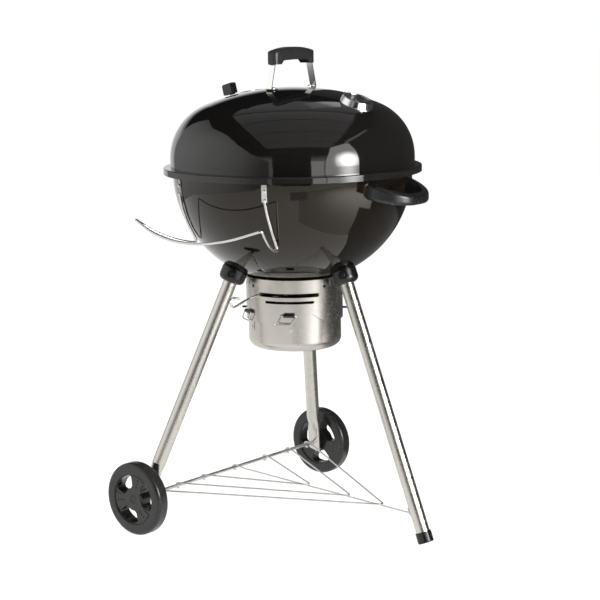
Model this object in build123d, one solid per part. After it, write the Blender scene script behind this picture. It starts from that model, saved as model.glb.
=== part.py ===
from build123d import *

import os
from math import asin, atan2, cos, degrees, radians, sin, sqrt

# Kettle charcoal grill on a tripod with two wheels, in millimetres, +Z up.
# While it is modelled, the kettle's axis is the Z axis, the ground is z = 0, the
# single leg points along +X and the wheel axle runs along Y. At the end the whole
# model is shifted so that the centre of its footprint lies on the origin.

# ---- clearances -----------------------------------------------------------
SEAT_GAP = 0.3             # between a piece and the seat that carries it
RUNNING_GAP = 0.05         # radial, a pin or shaft turning in its hole
FIXED_GAP = 0.1            # radial, a screw or tube held in its hole
SWEEP_GAP = 0.5            # between the ash blades and the bowl

# ---- bowl -----------------------------------------------------------------
ENAMEL_STEEL = 1.2         # sheet of bowl and lid
RIM_HEIGHT = 819.7         # top of the bowl's curve above the ground
BOWL_RADIUS = 273.6        # outside, at the rim
BOWL_CURVE = 254.4         # radius of the bowl's section curve
BEAD_RADIUS = 5.0          # rolled bead round the bowl's rim
BEAD_RISE = 3.3            # bead centre above the end of the curve
BOWL_VENTS = 3
VENT_INNER = 42.0
VENT_OUTER = 92.0
VENT_HALF_ANGLE = 17.0

# ---- lid ------------------------------------------------------------------
LID_RADIUS = 279.0         # outside of the upright wall
LID_FLANGE = 16.0          # width of the flat flange outside the wall
LID_LIP = 14.5             # height of the turned-down lip
LID_WALL = 20.0            # upright wall above the flange's underside
LID_SHOULDER = 129.0       # radius of the shoulder curve
LID_CROWN = 532.0          # radius of the flat crown
LID_BEND = 2.5             # outer bend between flange and lip

# ---- lid handle -----------------------------------------------------------
STRAP_WIDTH = 17.0
STRAP_THICKNESS = 2.2
STRAP_FOOT_REACH = 79.5    # bend above the foot, from the middle
STRAP_TOE_REACH = 57.0     # inner end of the foot
STRAP_NECK_REACH = 65.0    # where the strap enters the grip
STRAP_CORNER_REACH = 60.0
STRAP_INSIDE = 17.0        # strap's top run above the grip's underside
STRAP_BEND = 4.0
STRAP_NECK_BEND = 30.0
GRIP_LENGTH = 142.0
GRIP_WIDTH = 28.0
GRIP_UNDERSIDE = 239.3     # end blocks' underside above the rim
GRIP_END_HEIGHT = 27.0
GRIP_ARCH = 10.5           # middle of the top above its ends
GRIP_BLOCK = 26.0          # length of each end block
GRIP_SCOOP = 8.0           # finger scoop above the end blocks' underside
GRIP_SCOOP_ARCH = 1.2
GRIP_PLAN_ROUND = 11.0
GRIP_EDGE_ROUND = 3.0
HANDLE_BOLT_RADIUS = 3.0
HANDLE_BOLT_HEAD = 5.5
HANDLE_BOLT_INSET = 7.0    # bolt centre from the toe's end
HANDLE_BOLT_LENGTH = 12.0
HANDLE_NUT = 4.5

# ---- lid damper -----------------------------------------------------------
DAMPER_REACH = 138.6       # from the kettle's axis
DAMPER_RADIUS = 46.0
DAMPER_SHEET = 1.5
DAMPER_HOLES = 3
DAMPER_HOLE_RADIUS = 8.0
DAMPER_HOLE_REACH = 24.0
RIVET_RADIUS = 3.0
RIVET_HEAD = 6.5
KNOB_REACH = 40.0          # stem from the rivet
KNOB_STEM_RADIUS = 6.5
KNOB_STEM = 9.0
KNOB_LENGTH = 36.0
KNOB_WIDTH = 20.0
KNOB_HEIGHT = 24.0
KNOB_CHAMFER = 5.0
KNOB_TOP_CHAMFER = 2.5
KNOB_OVERHANG = 6.0        # head's middle past the stem, downhill

# ---- thermometer ----------------------------------------------------------
GAUGE_REACH = 186.3        # from the kettle's axis
BEZEL_BASE = 38.0
BEZEL_TOP = 33.5
BEZEL_HEIGHT = 14.0
BEZEL_FLOOR = 3.0
BEZEL_ROUND = 1.5
DIAL_RADIUS = 28.5
DIAL_SHEET = 1.0
GLASS_RADIUS = 30.5
GLASS_SHEET = 1.6
GLASS_DEPTH = 1.2          # glass below the bezel's top
PROBE_RADIUS = 3.0
PROBE_LENGTH = 62.0
PIVOT_RADIUS = 1.2
NEEDLE_REACH = 21.0
NEEDLE_SHEET = 0.8
NEEDLE_LIFT = 1.6          # needle above the dial
NEEDLE_HALF = 1.4          # half-width at the tail
NEEDLE_TIP_HALF = 0.35
NEEDLE_HUB = 3.6
NEEDLE_REST = -14.0        # needle's turn from downhill, degrees
GAUGE_NUT = 9.0
GAUGE_NUT_HEIGHT = 5.0

# ---- tripod ---------------------------------------------------------------
LEG_RADIUS = 15.9
LEG_WALL = 1.4
LEG_TOP_REACH = 148.0      # leg centre line at its socket, from the axis
LEG_TOP_HEIGHT = 586.0
FRONT_FOOT_REACH = 374.6   # leg centre line at the ground
REAR_LEG_AZIMUTH = 120.0   # of the two wheel legs' sockets
SOCKET_WALL = 2.0
CAP_RADIUS = 30.0
CAP_LENGTH = 42.0
CAP_ROUND = 13.0
CAP_RISE = 2.0             # cap's middle above the top of the leg's centre line
LEG_RISE = 8.0             # tube carried on above the top of its centre line
SOCKET_BELOW = 17.0        # socket's end below the top of the leg's centre line
CAP_SCREW_AZIMUTH = 60.0   # screws either side of the leg's own direction
CAP_SCREW_RADIUS = 3.0
CAP_SCREW_HEAD = 5.5
CAP_DIMPLE_RADIUS = 8.0
CAP_DIMPLE = 5.0
FOOT_CAP_LENGTH = 25.0
FOOT_CAP_WALL = 2.4
FOOT_CAP_SOLE = 5.0
FOOT_CAP_ROUND = 1.5
FOOT_CAP_DIP = 2.5         # what the ground takes off the cap's square end
TONGUE_WIDTH = 36.0        # pressed end of a wheel leg
TONGUE_THICKNESS = 8.0
TONGUE_BELOW = 22.0        # below the axle
TONGUE_ABOVE = 34.0
TONGUE_TAPER = 46.0        # from flat to round
TONGUE_ROUND = 9.0
TONGUE_EDGE = 3.6

# ---- wheels and axle ------------------------------------------------------
WHEEL_RADIUS = 84.0
WHEEL_WIDTH = 34.0
AXLE_X = -197.3
AXLE_RADIUS = 4.0
LEG_TRACK = 305.7          # pressed leg end from the middle
TYRE_DEPTH = 26.0
TYRE_ROUND = 9.0
TYRE_INNER_ROUND = 4.0
WEB_WIDTH = 26.0
KIDNEY_INNER = 27.0
KIDNEY_HALF_ANGLE = 33.0
KIDNEY_ROUND = 7.0
KIDNEY_LIP = 1.5           # web left standing inside the tyre
HUB_PLATE_WAIST = 22.0     # from the axle to the middle of a side
HUB_PLATE_SWEEP = 42.0     # radius of the hollow sides
HUB_PLATE_REACH = 56.0
HUB_PLATE_RISE = 1.5
HUB_RADIUS = 15.0
DIMPLE_RADIUS = 2.2
DIMPLE_DEPTH = 1.2
DIMPLE_REACHES = (32.0, 40.0, 48.0)
WHEEL_SPOKES = 3
LEFT_SPOKE_ANGLE = 70.0
RIGHT_SPOKE_ANGLE = 101.0
AXLE_CAP_RADIUS = 9.0
AXLE_CAP_DEPTH = 6.0
AXLE_CAP_ROUND = 1.5
AXLE_CAP_SINK = 9.0        # bottom of the cap's recess below the wheel's outer face
HUB_SINK = 3.0             # hub's outer end below the wheel's outer face
SPACER_RADIUS = 8.0
SPACER_REACH = 9.6         # spacer's outer end from the middle of the pressed leg end
HUB_SIDE_GAP = 0.3         # wheel to spacer and to axle cap

# ---- bottom rack ----------------------------------------------------------
RACK_WIRE = 2.0            # radius
RACK_SPREADS = (110.9, 198.9, 274.3)
RACK_TIPS = (33.6, 152.8, 248.9)
RACK_TIP_HALF = 5.0
RACK_STRAIGHT = 14.0       # run square to the axle before each bend
RACK_LOOP_BEND = 5.5
RACK_SPREAD_BEND = 20.0
RACK_TIP_BEND = 6.0
RACK_LOOP_TAIL = 4.0       # loop's end past the axle's centre
RACK_TAB_ALONG = 548.5     # tab's middle down the front leg
RACK_TAB_SHIFT = 5.0       # wire below, bolt above the tab's middle
RACK_WELD = 3.5            # centre wire below the bent wires
RACK_TAB_WIDTH = 14.0
RACK_TAB_HEIGHT = 18.0
RACK_TAB_SHEET = 2.0
RACK_BOLT_RADIUS = 2.5
RACK_BOLT_HEAD = 4.5

# ---- side handle ----------------------------------------------------------
BOW_AZIMUTH = 4.0
BOW_REACH = 345.0
BOW_HALF_WIDTH = 83.0
BOW_CORNER = 72.0
BOW_FRONT_BAR = 21.0
BOW_SIDE_BAR = 19.0
BOW_TOP_DROP = 8.0         # top of the bow's roots below the rim
BOW_FRONT_DROP = 42.0      # top of the front bar below the rim
BOW_ROOT_HEIGHT = 41.0
BOW_FRONT_HEIGHT = 22.0
BOW_EDGE_ROUND = 8.0
BOW_SCREW_RADIUS = 2.5
BOW_SCREW_HEAD = 5.0
BOW_SCREW_LENGTH = 14.0
BOW_SCREW_DROP = 28.0      # screw below the rim

# ---- lid holder -----------------------------------------------------------
HOLDER_WIRE = 3.0          # radius
HOLDER_AZIMUTH = -63.0     # of its right-hand plate
HOLDER_PLATE_WIDTH = 12.0
HOLDER_PLATE_SHEET = 2.2
HOLDER_PLATE_TOP = 8.0     # below the rim
HOLDER_PLATE_LENGTH = 38.0
HOLDER_RIVET_RADIUS = 2.5
HOLDER_RIVET_HEAD = 4.2
HOLDER_ELBOW = (119.0, -195.0, 663.0)
HOLDER_CORNER = (187.0, -325.0, 726.0)
HOLDER_SAG_OUT = 32.0
HOLDER_SAG_DOWN = 38.5
HOLDER_ARM_SAG = 22.0      # of the bend point half-way from the elbow to the corner
HOLDER_STAND_OFF = 5.2     # wire centre from the bowl on the way down
HOLDER_DESCENT = ((780.0, 0.0), (745.0, 1.0), (712.0, 2.2))    # height, swing apart
HOLDER_RIVET_DROP = 23.0   # rivet below the rim
HOLDER_TIGHT_BEND = 5.5
HOLDER_EASY_BEND = 60.0
HOLDER_ARM_BEND = 260.0
HOLDER_ARC_BEND = 300.0
HOLDER_ARC_SHARES = (0.6, 0.2)     # bend points of the sagging bar, share of its half-width

# ---- ash catcher ----------------------------------------------------------
FRONT_AZIMUTH = -56.5      # the ash catcher's own front
STEEL_SHEET = 0.8
SKIRT_RADIUS = 111.5
SKIRT_TOP = 578.0
SKIRT_BOTTOM = 478.0
CAN_RADIUS = 107.0
CAN_BOTTOM = 412.0
CAN_TOP = 508.0
CAN_CORNER = 20.0
CAN_RIM_SHEET = 1.2
UPPER_SLOT_DROP = 34.5     # below the skirt's top
UPPER_SLOT_GAP = 9.0
UPPER_SLOT_HALF_ANGLE = 37.8
UPPER_SLOT_AZIMUTH = -58.0
SLOT_SPACING = 16.0        # between the middles of the two slots
LOWER_SLOT_GAP = 6.0
LOWER_SLOT_HALF_ANGLE = 30.0
SKIRT_HOLE_RADIUS = 4.2
SKIRT_HOLE_DROP = 17.0     # below the skirt's top
SKIRT_HOLE_AZIMUTH = 12.5  # either side of each leg
NOTCH_AZIMUTH = -45.0
NOTCH_HALF_BOTTOM = 34.0   # degrees
NOTCH_HALF_TOP = 17.0
NOTCH_HEIGHT = 21.5
STUD_RADIUS = 2.5
STUD_LENGTH = 11.0
STUD_ROUND = 1.0
STUD_HEIGHT = 500.0
BRACKET_WIDTH = 14.0
BRACKET_SHEET = 1.6
BRACKET_HEIGHT = 16.0
BRACKET_TOP = 577.5
EAR_AZIMUTHS = (-56.5, -116.5)
EAR_RADIUS = 4.6
EAR_LENGTH = 25.0
EAR_HEIGHT = 499.5
BAIL_WIRE = 1.5            # radius
BAIL_HALF_WIDTH = 20.0
BAIL_DROP = 21.5
BAIL_SKEW = 17.0           # lower run shifted sideways
BAIL_BEND = 3.5
PLATE_TURN = 1.5           # plate's azimuth past its bail's, degrees
PLATE_WIDTH = 20.0
PLATE_SHEET = 1.2
PLATE_TOP = 476.5
PLATE_BOTTOM = 455.5
PLATE_RIVET_HEIGHT = 463.0
PLATE_RIVET_RADIUS = 2.0
PLATE_RIVET_HEAD = 3.6
PLATE_RIVET_DOME = 1.5

# ---- ash sweeper ----------------------------------------------------------
SHAFT_RADIUS = 5.0
SWEEPER_HUB_RADIUS = 19.0
SWEEPER_HUB_HEIGHT = 4.0
BLADE_SHEET = 1.5
BLADE_REACH = 100.0
BLADE_HALF_ANGLE = 13.0
BLADE_LEAD = 60.0          # first blade's azimuth past the lever
LEVER_WIRE = 2.5           # radius
LEVER_OFFSET = -35.5       # lever from the upper slot's middle
LEVER_BOSS_RADIUS = 11.0
LEVER_BOSS_HEIGHT = 14.0
LEVER_BENDS = ((118.0, 0.0, 20.0), (157.0, -6.5, 40.0), (200.0, -19.0, 8.0),
               (210.0, -6.0, 6.0), (199.0, 4.0, 8.0))     # radius, rise, bend
LEVER_END = (181.0, -0.5)

# ---- grates ---------------------------------------------------------------
GRATE_RING_RADIUS = 263.0
GRATE_RING_WIRE = 3.0
GRATE_ROD_WIRE = 2.5
GRATE_PITCH = 20.0
GRATE_DEPTH = 20.0         # cooking grate below the rim
GRATE_GRIP_HALF = 45.0
GRATE_GRIP_RISE = 18.0
GRATE_GRIP_BEND = 8.0
GRATE_GRIP_WIRE = 2.5
COAL_RING_RADIUS = 212.0
COAL_RING_WIRE = 3.5
COAL_ROD_WIRE = 3.0
COAL_PITCH = 26.0
ROD_WELD = 0.6             # how far crossing wires melt together
SHELF_COUNT = 4
SHELF_AZIMUTH = 45.0
SHELF_WIDTH = 24.0
SHELF_REACH = 16.0
SHELF_SHEET = 2.0
SHELF_LEG = 26.0

# ---- worked out from the sizes above -------------------------------------
BOWL_OFFSET = BOWL_RADIUS - BOWL_CURVE
BOWL_FLOOR = RIM_HEIGHT - BOWL_CURVE
BEAD_HEIGHT = RIM_HEIGHT + BEAD_RISE
BEAD_CENTRE = BOWL_RADIUS - ENAMEL_STEEL + BEAD_RADIUS
FLANGE_BOTTOM = BEAD_HEIGHT + BEAD_RADIUS + SEAT_GAP
FLANGE_TOP = FLANGE_BOTTOM + ENAMEL_STEEL
LIP_RADIUS = LID_RADIUS + LID_FLANGE
LIP_BOTTOM = FLANGE_TOP - LID_LIP
SHOULDER_BASE = FLANGE_BOTTOM + LID_WALL
SHOULDER_OFFSET = LID_RADIUS - LID_SHOULDER
CROWN_CENTRE = SHOULDER_BASE - sqrt((LID_CROWN - LID_SHOULDER) ** 2 - SHOULDER_OFFSET ** 2)
CROWN_HALF_ANGLE = degrees(atan2(SHOULDER_OFFSET, SHOULDER_BASE - CROWN_CENTRE))
LID_TOP = CROWN_CENTRE + LID_CROWN
DAMPER_TILT = degrees(asin(DAMPER_REACH / LID_CROWN))    # of the dome's normal
GAUGE_TILT = degrees(asin(GAUGE_REACH / LID_CROWN))
AXLE_HEIGHT = WHEEL_RADIUS
TYRE_INNER = WHEEL_RADIUS - TYRE_DEPTH
WHEEL_TRACK = LEG_TRACK + SPACER_REACH + HUB_SIDE_GAP + WHEEL_WIDTH / 2    # from the middle
SOCKET_RADIUS = LEG_RADIUS + FIXED_GAP + SOCKET_WALL
FOOT_CAP_RADIUS = LEG_RADIUS + FIXED_GAP + FOOT_CAP_WALL
RACK_LOOP = AXLE_RADIUS + SEAT_GAP + RACK_WIRE
LEG_AZIMUTHS = (0.0, REAR_LEG_AZIMUTH, -REAR_LEG_AZIMUTH)
UPPER_SLOT_HEIGHT = SKIRT_TOP - UPPER_SLOT_DROP
LOWER_SLOT_HEIGHT = UPPER_SLOT_HEIGHT - SLOT_SPACING
SKIRT_HOLE_HEIGHT = SKIRT_TOP - SKIRT_HOLE_DROP
LEVER_AZIMUTH = UPPER_SLOT_AZIMUTH + LEVER_OFFSET
GRATE_HEIGHT = RIM_HEIGHT - GRATE_DEPTH
EAR_CENTRE = SKIRT_RADIUS + SEAT_GAP + EAR_RADIUS
AXLE_CAP_SEAT = WHEEL_WIDTH / 2 - AXLE_CAP_SINK + HUB_SIDE_GAP
WEB_FACE = WEB_WIDTH / 2 + HUB_PLATE_RISE
HOLDER_AZIMUTHS = (HOLDER_AZIMUTH, -180 - HOLDER_AZIMUTH)
BLADE_UNDER = ENAMEL_STEEL + SWEEP_GAP
SHELF_TOP = GRATE_HEIGHT - GRATE_RING_WIRE - SEAT_GAP
COAL_FALL = BOWL_CURVE - ENAMEL_STEEL - COAL_RING_WIRE - SEAT_GAP
COAL_HEIGHT = RIM_HEIGHT - sqrt(COAL_FALL ** 2 - (COAL_RING_RADIUS - BOWL_OFFSET) ** 2)
FAR = 2000.0               # longer than anything, for cutting tools


# ---- helpers --------------------------------------------------------------
def polar(radius, azimuth, height):
    """A point given by its distance from the kettle's axis, its azimuth and its height."""
    angle = radians(azimuth)
    return Vector(radius * cos(angle), radius * sin(angle), height)


def turned(*lines):
    """The solid made by turning a closed outline in the (radius, height) plane."""
    edges = [edge for line in lines for edge in line.edges()]
    return revolve(Plane.XZ * make_face(edges), Axis.Z)


def tube(outer, inner, low, high):
    """An upright tube round the kettle's axis."""
    ring = Circle(outer) - Circle(inner)
    return extrude(Plane.XY.offset(low) * ring, high - low)


def drum(radius, low, high):
    """An upright cylinder on the kettle's axis."""
    return extrude(Plane.XY.offset(low) * Circle(radius), high - low)


def ring_sector(inner, outer, low, high, azimuth, half_angle):
    """A piece of an upright tube, centred on an azimuth."""
    section = Pos((inner + outer) / 2, (low + high) / 2) * Rectangle(outer - inner, high - low)
    sector = revolve(Plane.XZ * section, Axis.Z, revolution_arc=2 * half_angle)
    return Rot(0, 0, azimuth - half_angle) * sector


def rod(start, end, radius):
    """A round rod between two points."""
    start = Vector(start)
    end = Vector(end)
    plane = Plane(start, z_dir=end - start)
    return extrude(plane * Circle(radius), (end - start).length)


def wire(points, radii, thickness):
    """A round wire along straight runs joined by arcs."""
    path = FilletPolyline(*points, radius=radii).wire()
    return sweep(Plane(path @ 0, z_dir=path % 0) * Circle(thickness), path=path)


def headed_pin(shank_radius, shank, head_radius, head):
    """A pin along -Z whose domed head stands on z = 0."""
    pin = extrude(Circle(head_radius), head)
    pin = fillet(pin.edges().group_by(Axis.Z)[-1], head / 2)
    return pin + extrude(Circle(shank_radius), -shank)


def rivet(shank_radius, grip, head_radius, head):
    """A headed pin with a low foot at the end of its grip."""
    foot = extrude(Plane.XY.offset(-grip) * Circle(head_radius), -head / 2)
    return headed_pin(shank_radius, grip, head_radius, head) + foot


def rings(shape, radius):
    """The round edges of a shape that have a given radius."""
    round_edges = shape.edges().filter_by(GeomType.CIRCLE)
    return [edge for edge in round_edges if abs(edge.radius - radius) < RUNNING_GAP]


def largest(shape):
    """The biggest solid of a cut shape, with the offcuts dropped."""
    return shape.solids().sort_by(SortBy.VOLUME)[-1]


def bowl_radius_at(height):
    """Radius of the bowl's outer face at a height."""
    return BOWL_OFFSET + sqrt(BOWL_CURVE ** 2 - (RIM_HEIGHT - height) ** 2)


def bowl_plane(azimuth, height):
    """A plane on the bowl's outer face: z is the outward normal and x lies level."""
    rise = (height - RIM_HEIGHT) / BOWL_CURVE
    normal = polar(sqrt(1 - rise ** 2), azimuth, rise)
    level = polar(1, azimuth + 90, 0)
    return Plane(polar(bowl_radius_at(height), azimuth, height), x_dir=level, z_dir=normal)


def bowl_fill(inset=0.0):
    """Everything inside the bowl's outer face, less an inset along its normal."""
    reach = BOWL_CURVE - inset
    floor = RIM_HEIGHT - reach
    edge = BOWL_OFFSET + reach
    sides = Polyline((edge, RIM_HEIGHT), (0, RIM_HEIGHT), (0, floor), (BOWL_OFFSET, floor))
    curve = CenterArc((BOWL_OFFSET, RIM_HEIGHT), reach, -90, 90)
    return turned(sides, curve)


def bowl_shell(inner, outer):
    """The layer between two insets from the bowl's outer face."""
    return bowl_fill(outer) - bowl_fill(inner)


def lid_fill(inset=0.0):
    """Everything under the lid's dome down to the flange, less an inset along its normal."""
    wall = LID_RADIUS - inset
    top = LID_TOP - inset
    shoulder = CenterArc((SHOULDER_OFFSET, SHOULDER_BASE), LID_SHOULDER - inset,
                         0, 90 - CROWN_HALF_ANGLE)
    crown = CenterArc((0, CROWN_CENTRE), LID_CROWN - inset, 90 - CROWN_HALF_ANGLE, CROWN_HALF_ANGLE)
    sides = Polyline((0, top), (0, FLANGE_BOTTOM), (wall, FLANGE_BOTTOM), (wall, SHOULDER_BASE))
    return turned(shoulder, crown, sides)


def crown_plane(tilt, azimuth, lift=0.0):
    """A plane on the lid's crown: z is the dome's normal and x points downhill."""
    slope = radians(tilt)
    turn = radians(azimuth)
    normal = Vector(sin(slope) * cos(turn), sin(slope) * sin(turn), cos(slope))
    downhill = Vector(cos(slope) * cos(turn), cos(slope) * sin(turn), -sin(slope))
    origin = Vector(0, 0, CROWN_CENTRE) + normal * (LID_CROWN + lift)
    return Plane(origin, x_dir=downhill, z_dir=normal)


def crown_shell(radius, low, high):
    """A dished disc that follows the crown, in the crown plane's own coordinates."""
    dish = Sphere(LID_CROWN + high) - Sphere(LID_CROWN + low)
    return Cylinder(radius, radius) & (Pos(0, 0, -LID_CROWN) * dish)


def crown_height_at(reach, lift=0.0):
    """Height of the crown at a distance from the kettle's axis."""
    return CROWN_CENTRE + sqrt((LID_CROWN + lift) ** 2 - reach ** 2)


# ---- kettle ---------------------------------------------------------------
def make_bowl():
    shell = bowl_shell(ENAMEL_STEEL, 0)
    shell += tube(BOWL_RADIUS, BOWL_RADIUS - ENAMEL_STEEL, RIM_HEIGHT, BEAD_HEIGHT)
    shell += Pos(0, 0, BEAD_HEIGHT) * Torus(BEAD_CENTRE, BEAD_RADIUS)
    shell -= Pos(0, 0, BOWL_FLOOR) * Cylinder(SHAFT_RADIUS + RUNNING_GAP, SWEEPER_HUB_RADIUS)
    for index in range(BOWL_VENTS):
        azimuth = LEVER_AZIMUTH + index * 360 / BOWL_VENTS
        shell -= ring_sector(VENT_INNER, VENT_OUTER, BOWL_FLOOR - BEAD_RADIUS, GRATE_HEIGHT,
                             azimuth, VENT_HALF_ANGLE)
    for azimuth in HOLDER_AZIMUTHS:
        shell -= holder_rivet_plane(azimuth) * Cylinder(HOLDER_RIVET_RADIUS + FIXED_GAP,
                                                        HOLDER_PLATE_WIDTH)
    for side in (-1, 1):
        shell -= bow_screw_plane(side) * Cylinder(BOW_SCREW_RADIUS + FIXED_GAP,
                                                  BOW_SCREW_LENGTH)
    return shell


def make_lid_dome():
    dome = lid_fill() - lid_fill(ENAMEL_STEEL)
    dome += tube(LIP_RADIUS, LID_RADIUS - ENAMEL_STEEL, FLANGE_BOTTOM, FLANGE_TOP)
    dome += tube(LIP_RADIUS, LIP_RADIUS - ENAMEL_STEEL, LIP_BOTTOM, FLANGE_TOP)
    outer = [edge for edge in rings(dome, LIP_RADIUS) if edge.center().Z > FLANGE_BOTTOM]
    dome = fillet(outer, LID_BEND)
    inner = [edge for edge in rings(dome, LIP_RADIUS - ENAMEL_STEEL)
             if edge.center().Z > LIP_BOTTOM + ENAMEL_STEEL]
    dome = fillet(inner, LID_BEND - ENAMEL_STEEL)
    dome -= damper_vents(DAMPER_HOLE_RADIUS)
    dome -= damper_plane() * Cylinder(RIVET_RADIUS + FIXED_GAP, BEZEL_BASE)
    dome -= gauge_plane() * Cylinder(PROBE_RADIUS + FIXED_GAP, BEZEL_BASE)
    for side in (-1, 1):
        dome -= handle_bolt_plane(side) * Cylinder(HANDLE_BOLT_RADIUS + FIXED_GAP, BEZEL_BASE)
    return dome


# ---- lid handle -----------------------------------------------------------
def strap_path():
    """The strap's middle line, from one toe over the grip's inside to the other."""
    lift = STRAP_THICKNESS / 2
    underside = RIM_HEIGHT + GRIP_UNDERSIDE
    half = [
        (STRAP_TOE_REACH, crown_height_at(STRAP_TOE_REACH, lift)),
        (STRAP_FOOT_REACH, crown_height_at(STRAP_FOOT_REACH, lift)),
        (STRAP_NECK_REACH, underside),
        (STRAP_CORNER_REACH, underside + STRAP_INSIDE),
    ]
    left = [(0, -reach, height) for reach, height in half]
    right = [(0, reach, height) for reach, height in reversed(half)]
    bends = [STRAP_BEND, STRAP_NECK_BEND, STRAP_BEND]
    return FilletPolyline(*left, *right, radius=bends + bends[::-1]).wire()


def strap_solid(width, thickness):
    """A flat bar of the given section along the strap's path."""
    path = strap_path()
    start = Plane(path @ 0, x_dir=(1, 0, 0), z_dir=path % 0)
    return sweep(start * Rectangle(width, thickness), path=path)


def handle_bolt_plane(side):
    """The crown plane at a handle bolt."""
    reach = STRAP_TOE_REACH + HANDLE_BOLT_INSET
    tilt = degrees(atan2(reach, crown_height_at(reach) - CROWN_CENTRE))
    return crown_plane(tilt, 90 * side)


def make_lid_strap():
    strap = strap_solid(STRAP_WIDTH, STRAP_THICKNESS)
    strap -= lid_fill()
    for side in (-1, 1):
        strap -= handle_bolt_plane(side) * Cylinder(HANDLE_BOLT_RADIUS + FIXED_GAP,
                                                    4 * STRAP_THICKNESS)
    return strap


def make_lid_grip():
    low = RIM_HEIGHT + GRIP_UNDERSIDE
    end_top = low + GRIP_END_HEIGHT
    top = end_top + GRIP_ARCH
    half = GRIP_LENGTH / 2
    inner = half - GRIP_BLOCK
    arch = ThreePointArc((half, end_top), (0, top), (-half, end_top))
    under = Polyline((-half, end_top), (-half, low), (-inner - GRIP_SCOOP / 2, low),
                     (-inner + GRIP_SCOOP / 2, low + GRIP_SCOOP))
    scoop = ThreePointArc((-inner + GRIP_SCOOP / 2, low + GRIP_SCOOP),
                          (0, low + GRIP_SCOOP + GRIP_SCOOP_ARCH),
                          (inner - GRIP_SCOOP / 2, low + GRIP_SCOOP))
    back = Polyline((inner - GRIP_SCOOP / 2, low + GRIP_SCOOP), (inner + GRIP_SCOOP / 2, low),
                    (half, low), (half, end_top))
    outline = [*arch.edges(), *under.edges(), *scoop.edges(), *back.edges()]
    side = make_face(outline)
    body = extrude(Plane.YZ * side, GRIP_WIDTH / 2, both=True)
    plan = RectangleRounded(GRIP_WIDTH, GRIP_LENGTH, GRIP_PLAN_ROUND)
    body &= extrude(Plane.XY.offset(low - GRIP_SCOOP) * plan, 3 * GRIP_END_HEIGHT)
    crest = [e for e in body.edges() if (e @ 0.5).Z > end_top - GRIP_EDGE_ROUND]
    body = fillet(crest, GRIP_EDGE_ROUND)
    return body - strap_solid(STRAP_WIDTH + 2 * FIXED_GAP, STRAP_THICKNESS + 2 * FIXED_GAP)


def make_lid_handle_bolts():
    bolts = []
    for side in (-1, 1):
        bolt = headed_pin(HANDLE_BOLT_RADIUS, HANDLE_BOLT_LENGTH, HANDLE_BOLT_HEAD,
                          HANDLE_BOLT_RADIUS)
        bolt = Pos(0, 0, STRAP_THICKNESS + SEAT_GAP) * bolt
        nut = RegularPolygon(HANDLE_BOLT_HEAD, 6)
        nut = extrude(Plane.XY.offset(-ENAMEL_STEEL - SEAT_GAP) * nut, -HANDLE_NUT)
        bolts.append(handle_bolt_plane(side) * (bolt + nut))
    return Compound(children=bolts)


# ---- lid damper -----------------------------------------------------------
def damper_plane():
    """The crown plane at the damper's rivet."""
    return crown_plane(DAMPER_TILT, 180)


def damper_vents(radius):
    """The through cuts of the damper's vent holes, in place."""
    cuts = []
    for index in range(DAMPER_HOLES):
        angle = (index + 0.5) * 360 / DAMPER_HOLES
        hole = Rot(0, 0, angle) * Pos(DAMPER_HOLE_REACH, 0, 0) * Cylinder(radius, BEZEL_BASE)
        cuts.append(damper_plane() * hole)
    return cuts


def make_damper_disc():
    disc = crown_shell(DAMPER_RADIUS, SEAT_GAP, SEAT_GAP + DAMPER_SHEET)
    disc = damper_plane() * disc
    disc -= damper_vents(DAMPER_HOLE_RADIUS)
    disc -= damper_plane() * Cylinder(RIVET_RADIUS + RUNNING_GAP, BEZEL_BASE)
    return disc


def make_damper_rivet():
    under_head = 2 * SEAT_GAP + DAMPER_SHEET
    grip = under_head + ENAMEL_STEEL + SEAT_GAP
    pin = rivet(RIVET_RADIUS, grip, RIVET_HEAD, RIVET_RADIUS)
    return damper_plane() * Pos(0, 0, under_head) * pin


def make_damper_knob():
    base = SEAT_GAP + DAMPER_SHEET
    stem = extrude(Circle(KNOB_STEM_RADIUS), base + KNOB_STEM)
    head = Pos(KNOB_OVERHANG, 0, base + KNOB_STEM + KNOB_HEIGHT / 2) * Box(
        KNOB_LENGTH, KNOB_WIDTH, KNOB_HEIGHT)
    head = chamfer(head.edges().filter_by(Axis.Z), KNOB_CHAMFER)
    head = chamfer(head.edges().group_by(Axis.Z)[-1], KNOB_TOP_CHAMFER)
    knob = Pos(KNOB_REACH, 0, 0) * (stem + head)
    knob -= Pos(0, 0, -LID_CROWN) * Sphere(LID_CROWN + base)
    return damper_plane() * knob


# ---- thermometer ----------------------------------------------------------
def gauge_plane():
    """The crown plane at the thermometer."""
    return crown_plane(GAUGE_TILT, 0)


def make_bezel():
    skirt = extrude(Plane.XY.offset(-BEZEL_HEIGHT) * Circle(BEZEL_BASE), BEZEL_HEIGHT)
    cone = Pos(0, 0, BEZEL_HEIGHT / 2) * Cone(BEZEL_BASE, BEZEL_TOP, BEZEL_HEIGHT)
    body = skirt + cone
    body = fillet(rings(body, BEZEL_TOP), BEZEL_ROUND)
    body -= extrude(Plane.XY.offset(BEZEL_FLOOR) * Circle(DIAL_RADIUS + FIXED_GAP), BEZEL_HEIGHT)
    glass_seat = BEZEL_HEIGHT - GLASS_DEPTH - GLASS_SHEET
    body -= extrude(Plane.XY.offset(glass_seat) * Circle(GLASS_RADIUS + FIXED_GAP), BEZEL_HEIGHT)
    body -= Cylinder(PROBE_RADIUS + FIXED_GAP, 2 * BEZEL_HEIGHT)
    return largest(gauge_plane() * body - lid_fill(-SEAT_GAP))


def make_dial():
    dial = extrude(Plane.XY.offset(BEZEL_FLOOR) * Circle(DIAL_RADIUS), DIAL_SHEET)
    return gauge_plane() * (dial - Cylinder(PROBE_RADIUS + FIXED_GAP, 4 * BEZEL_FLOOR))


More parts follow.
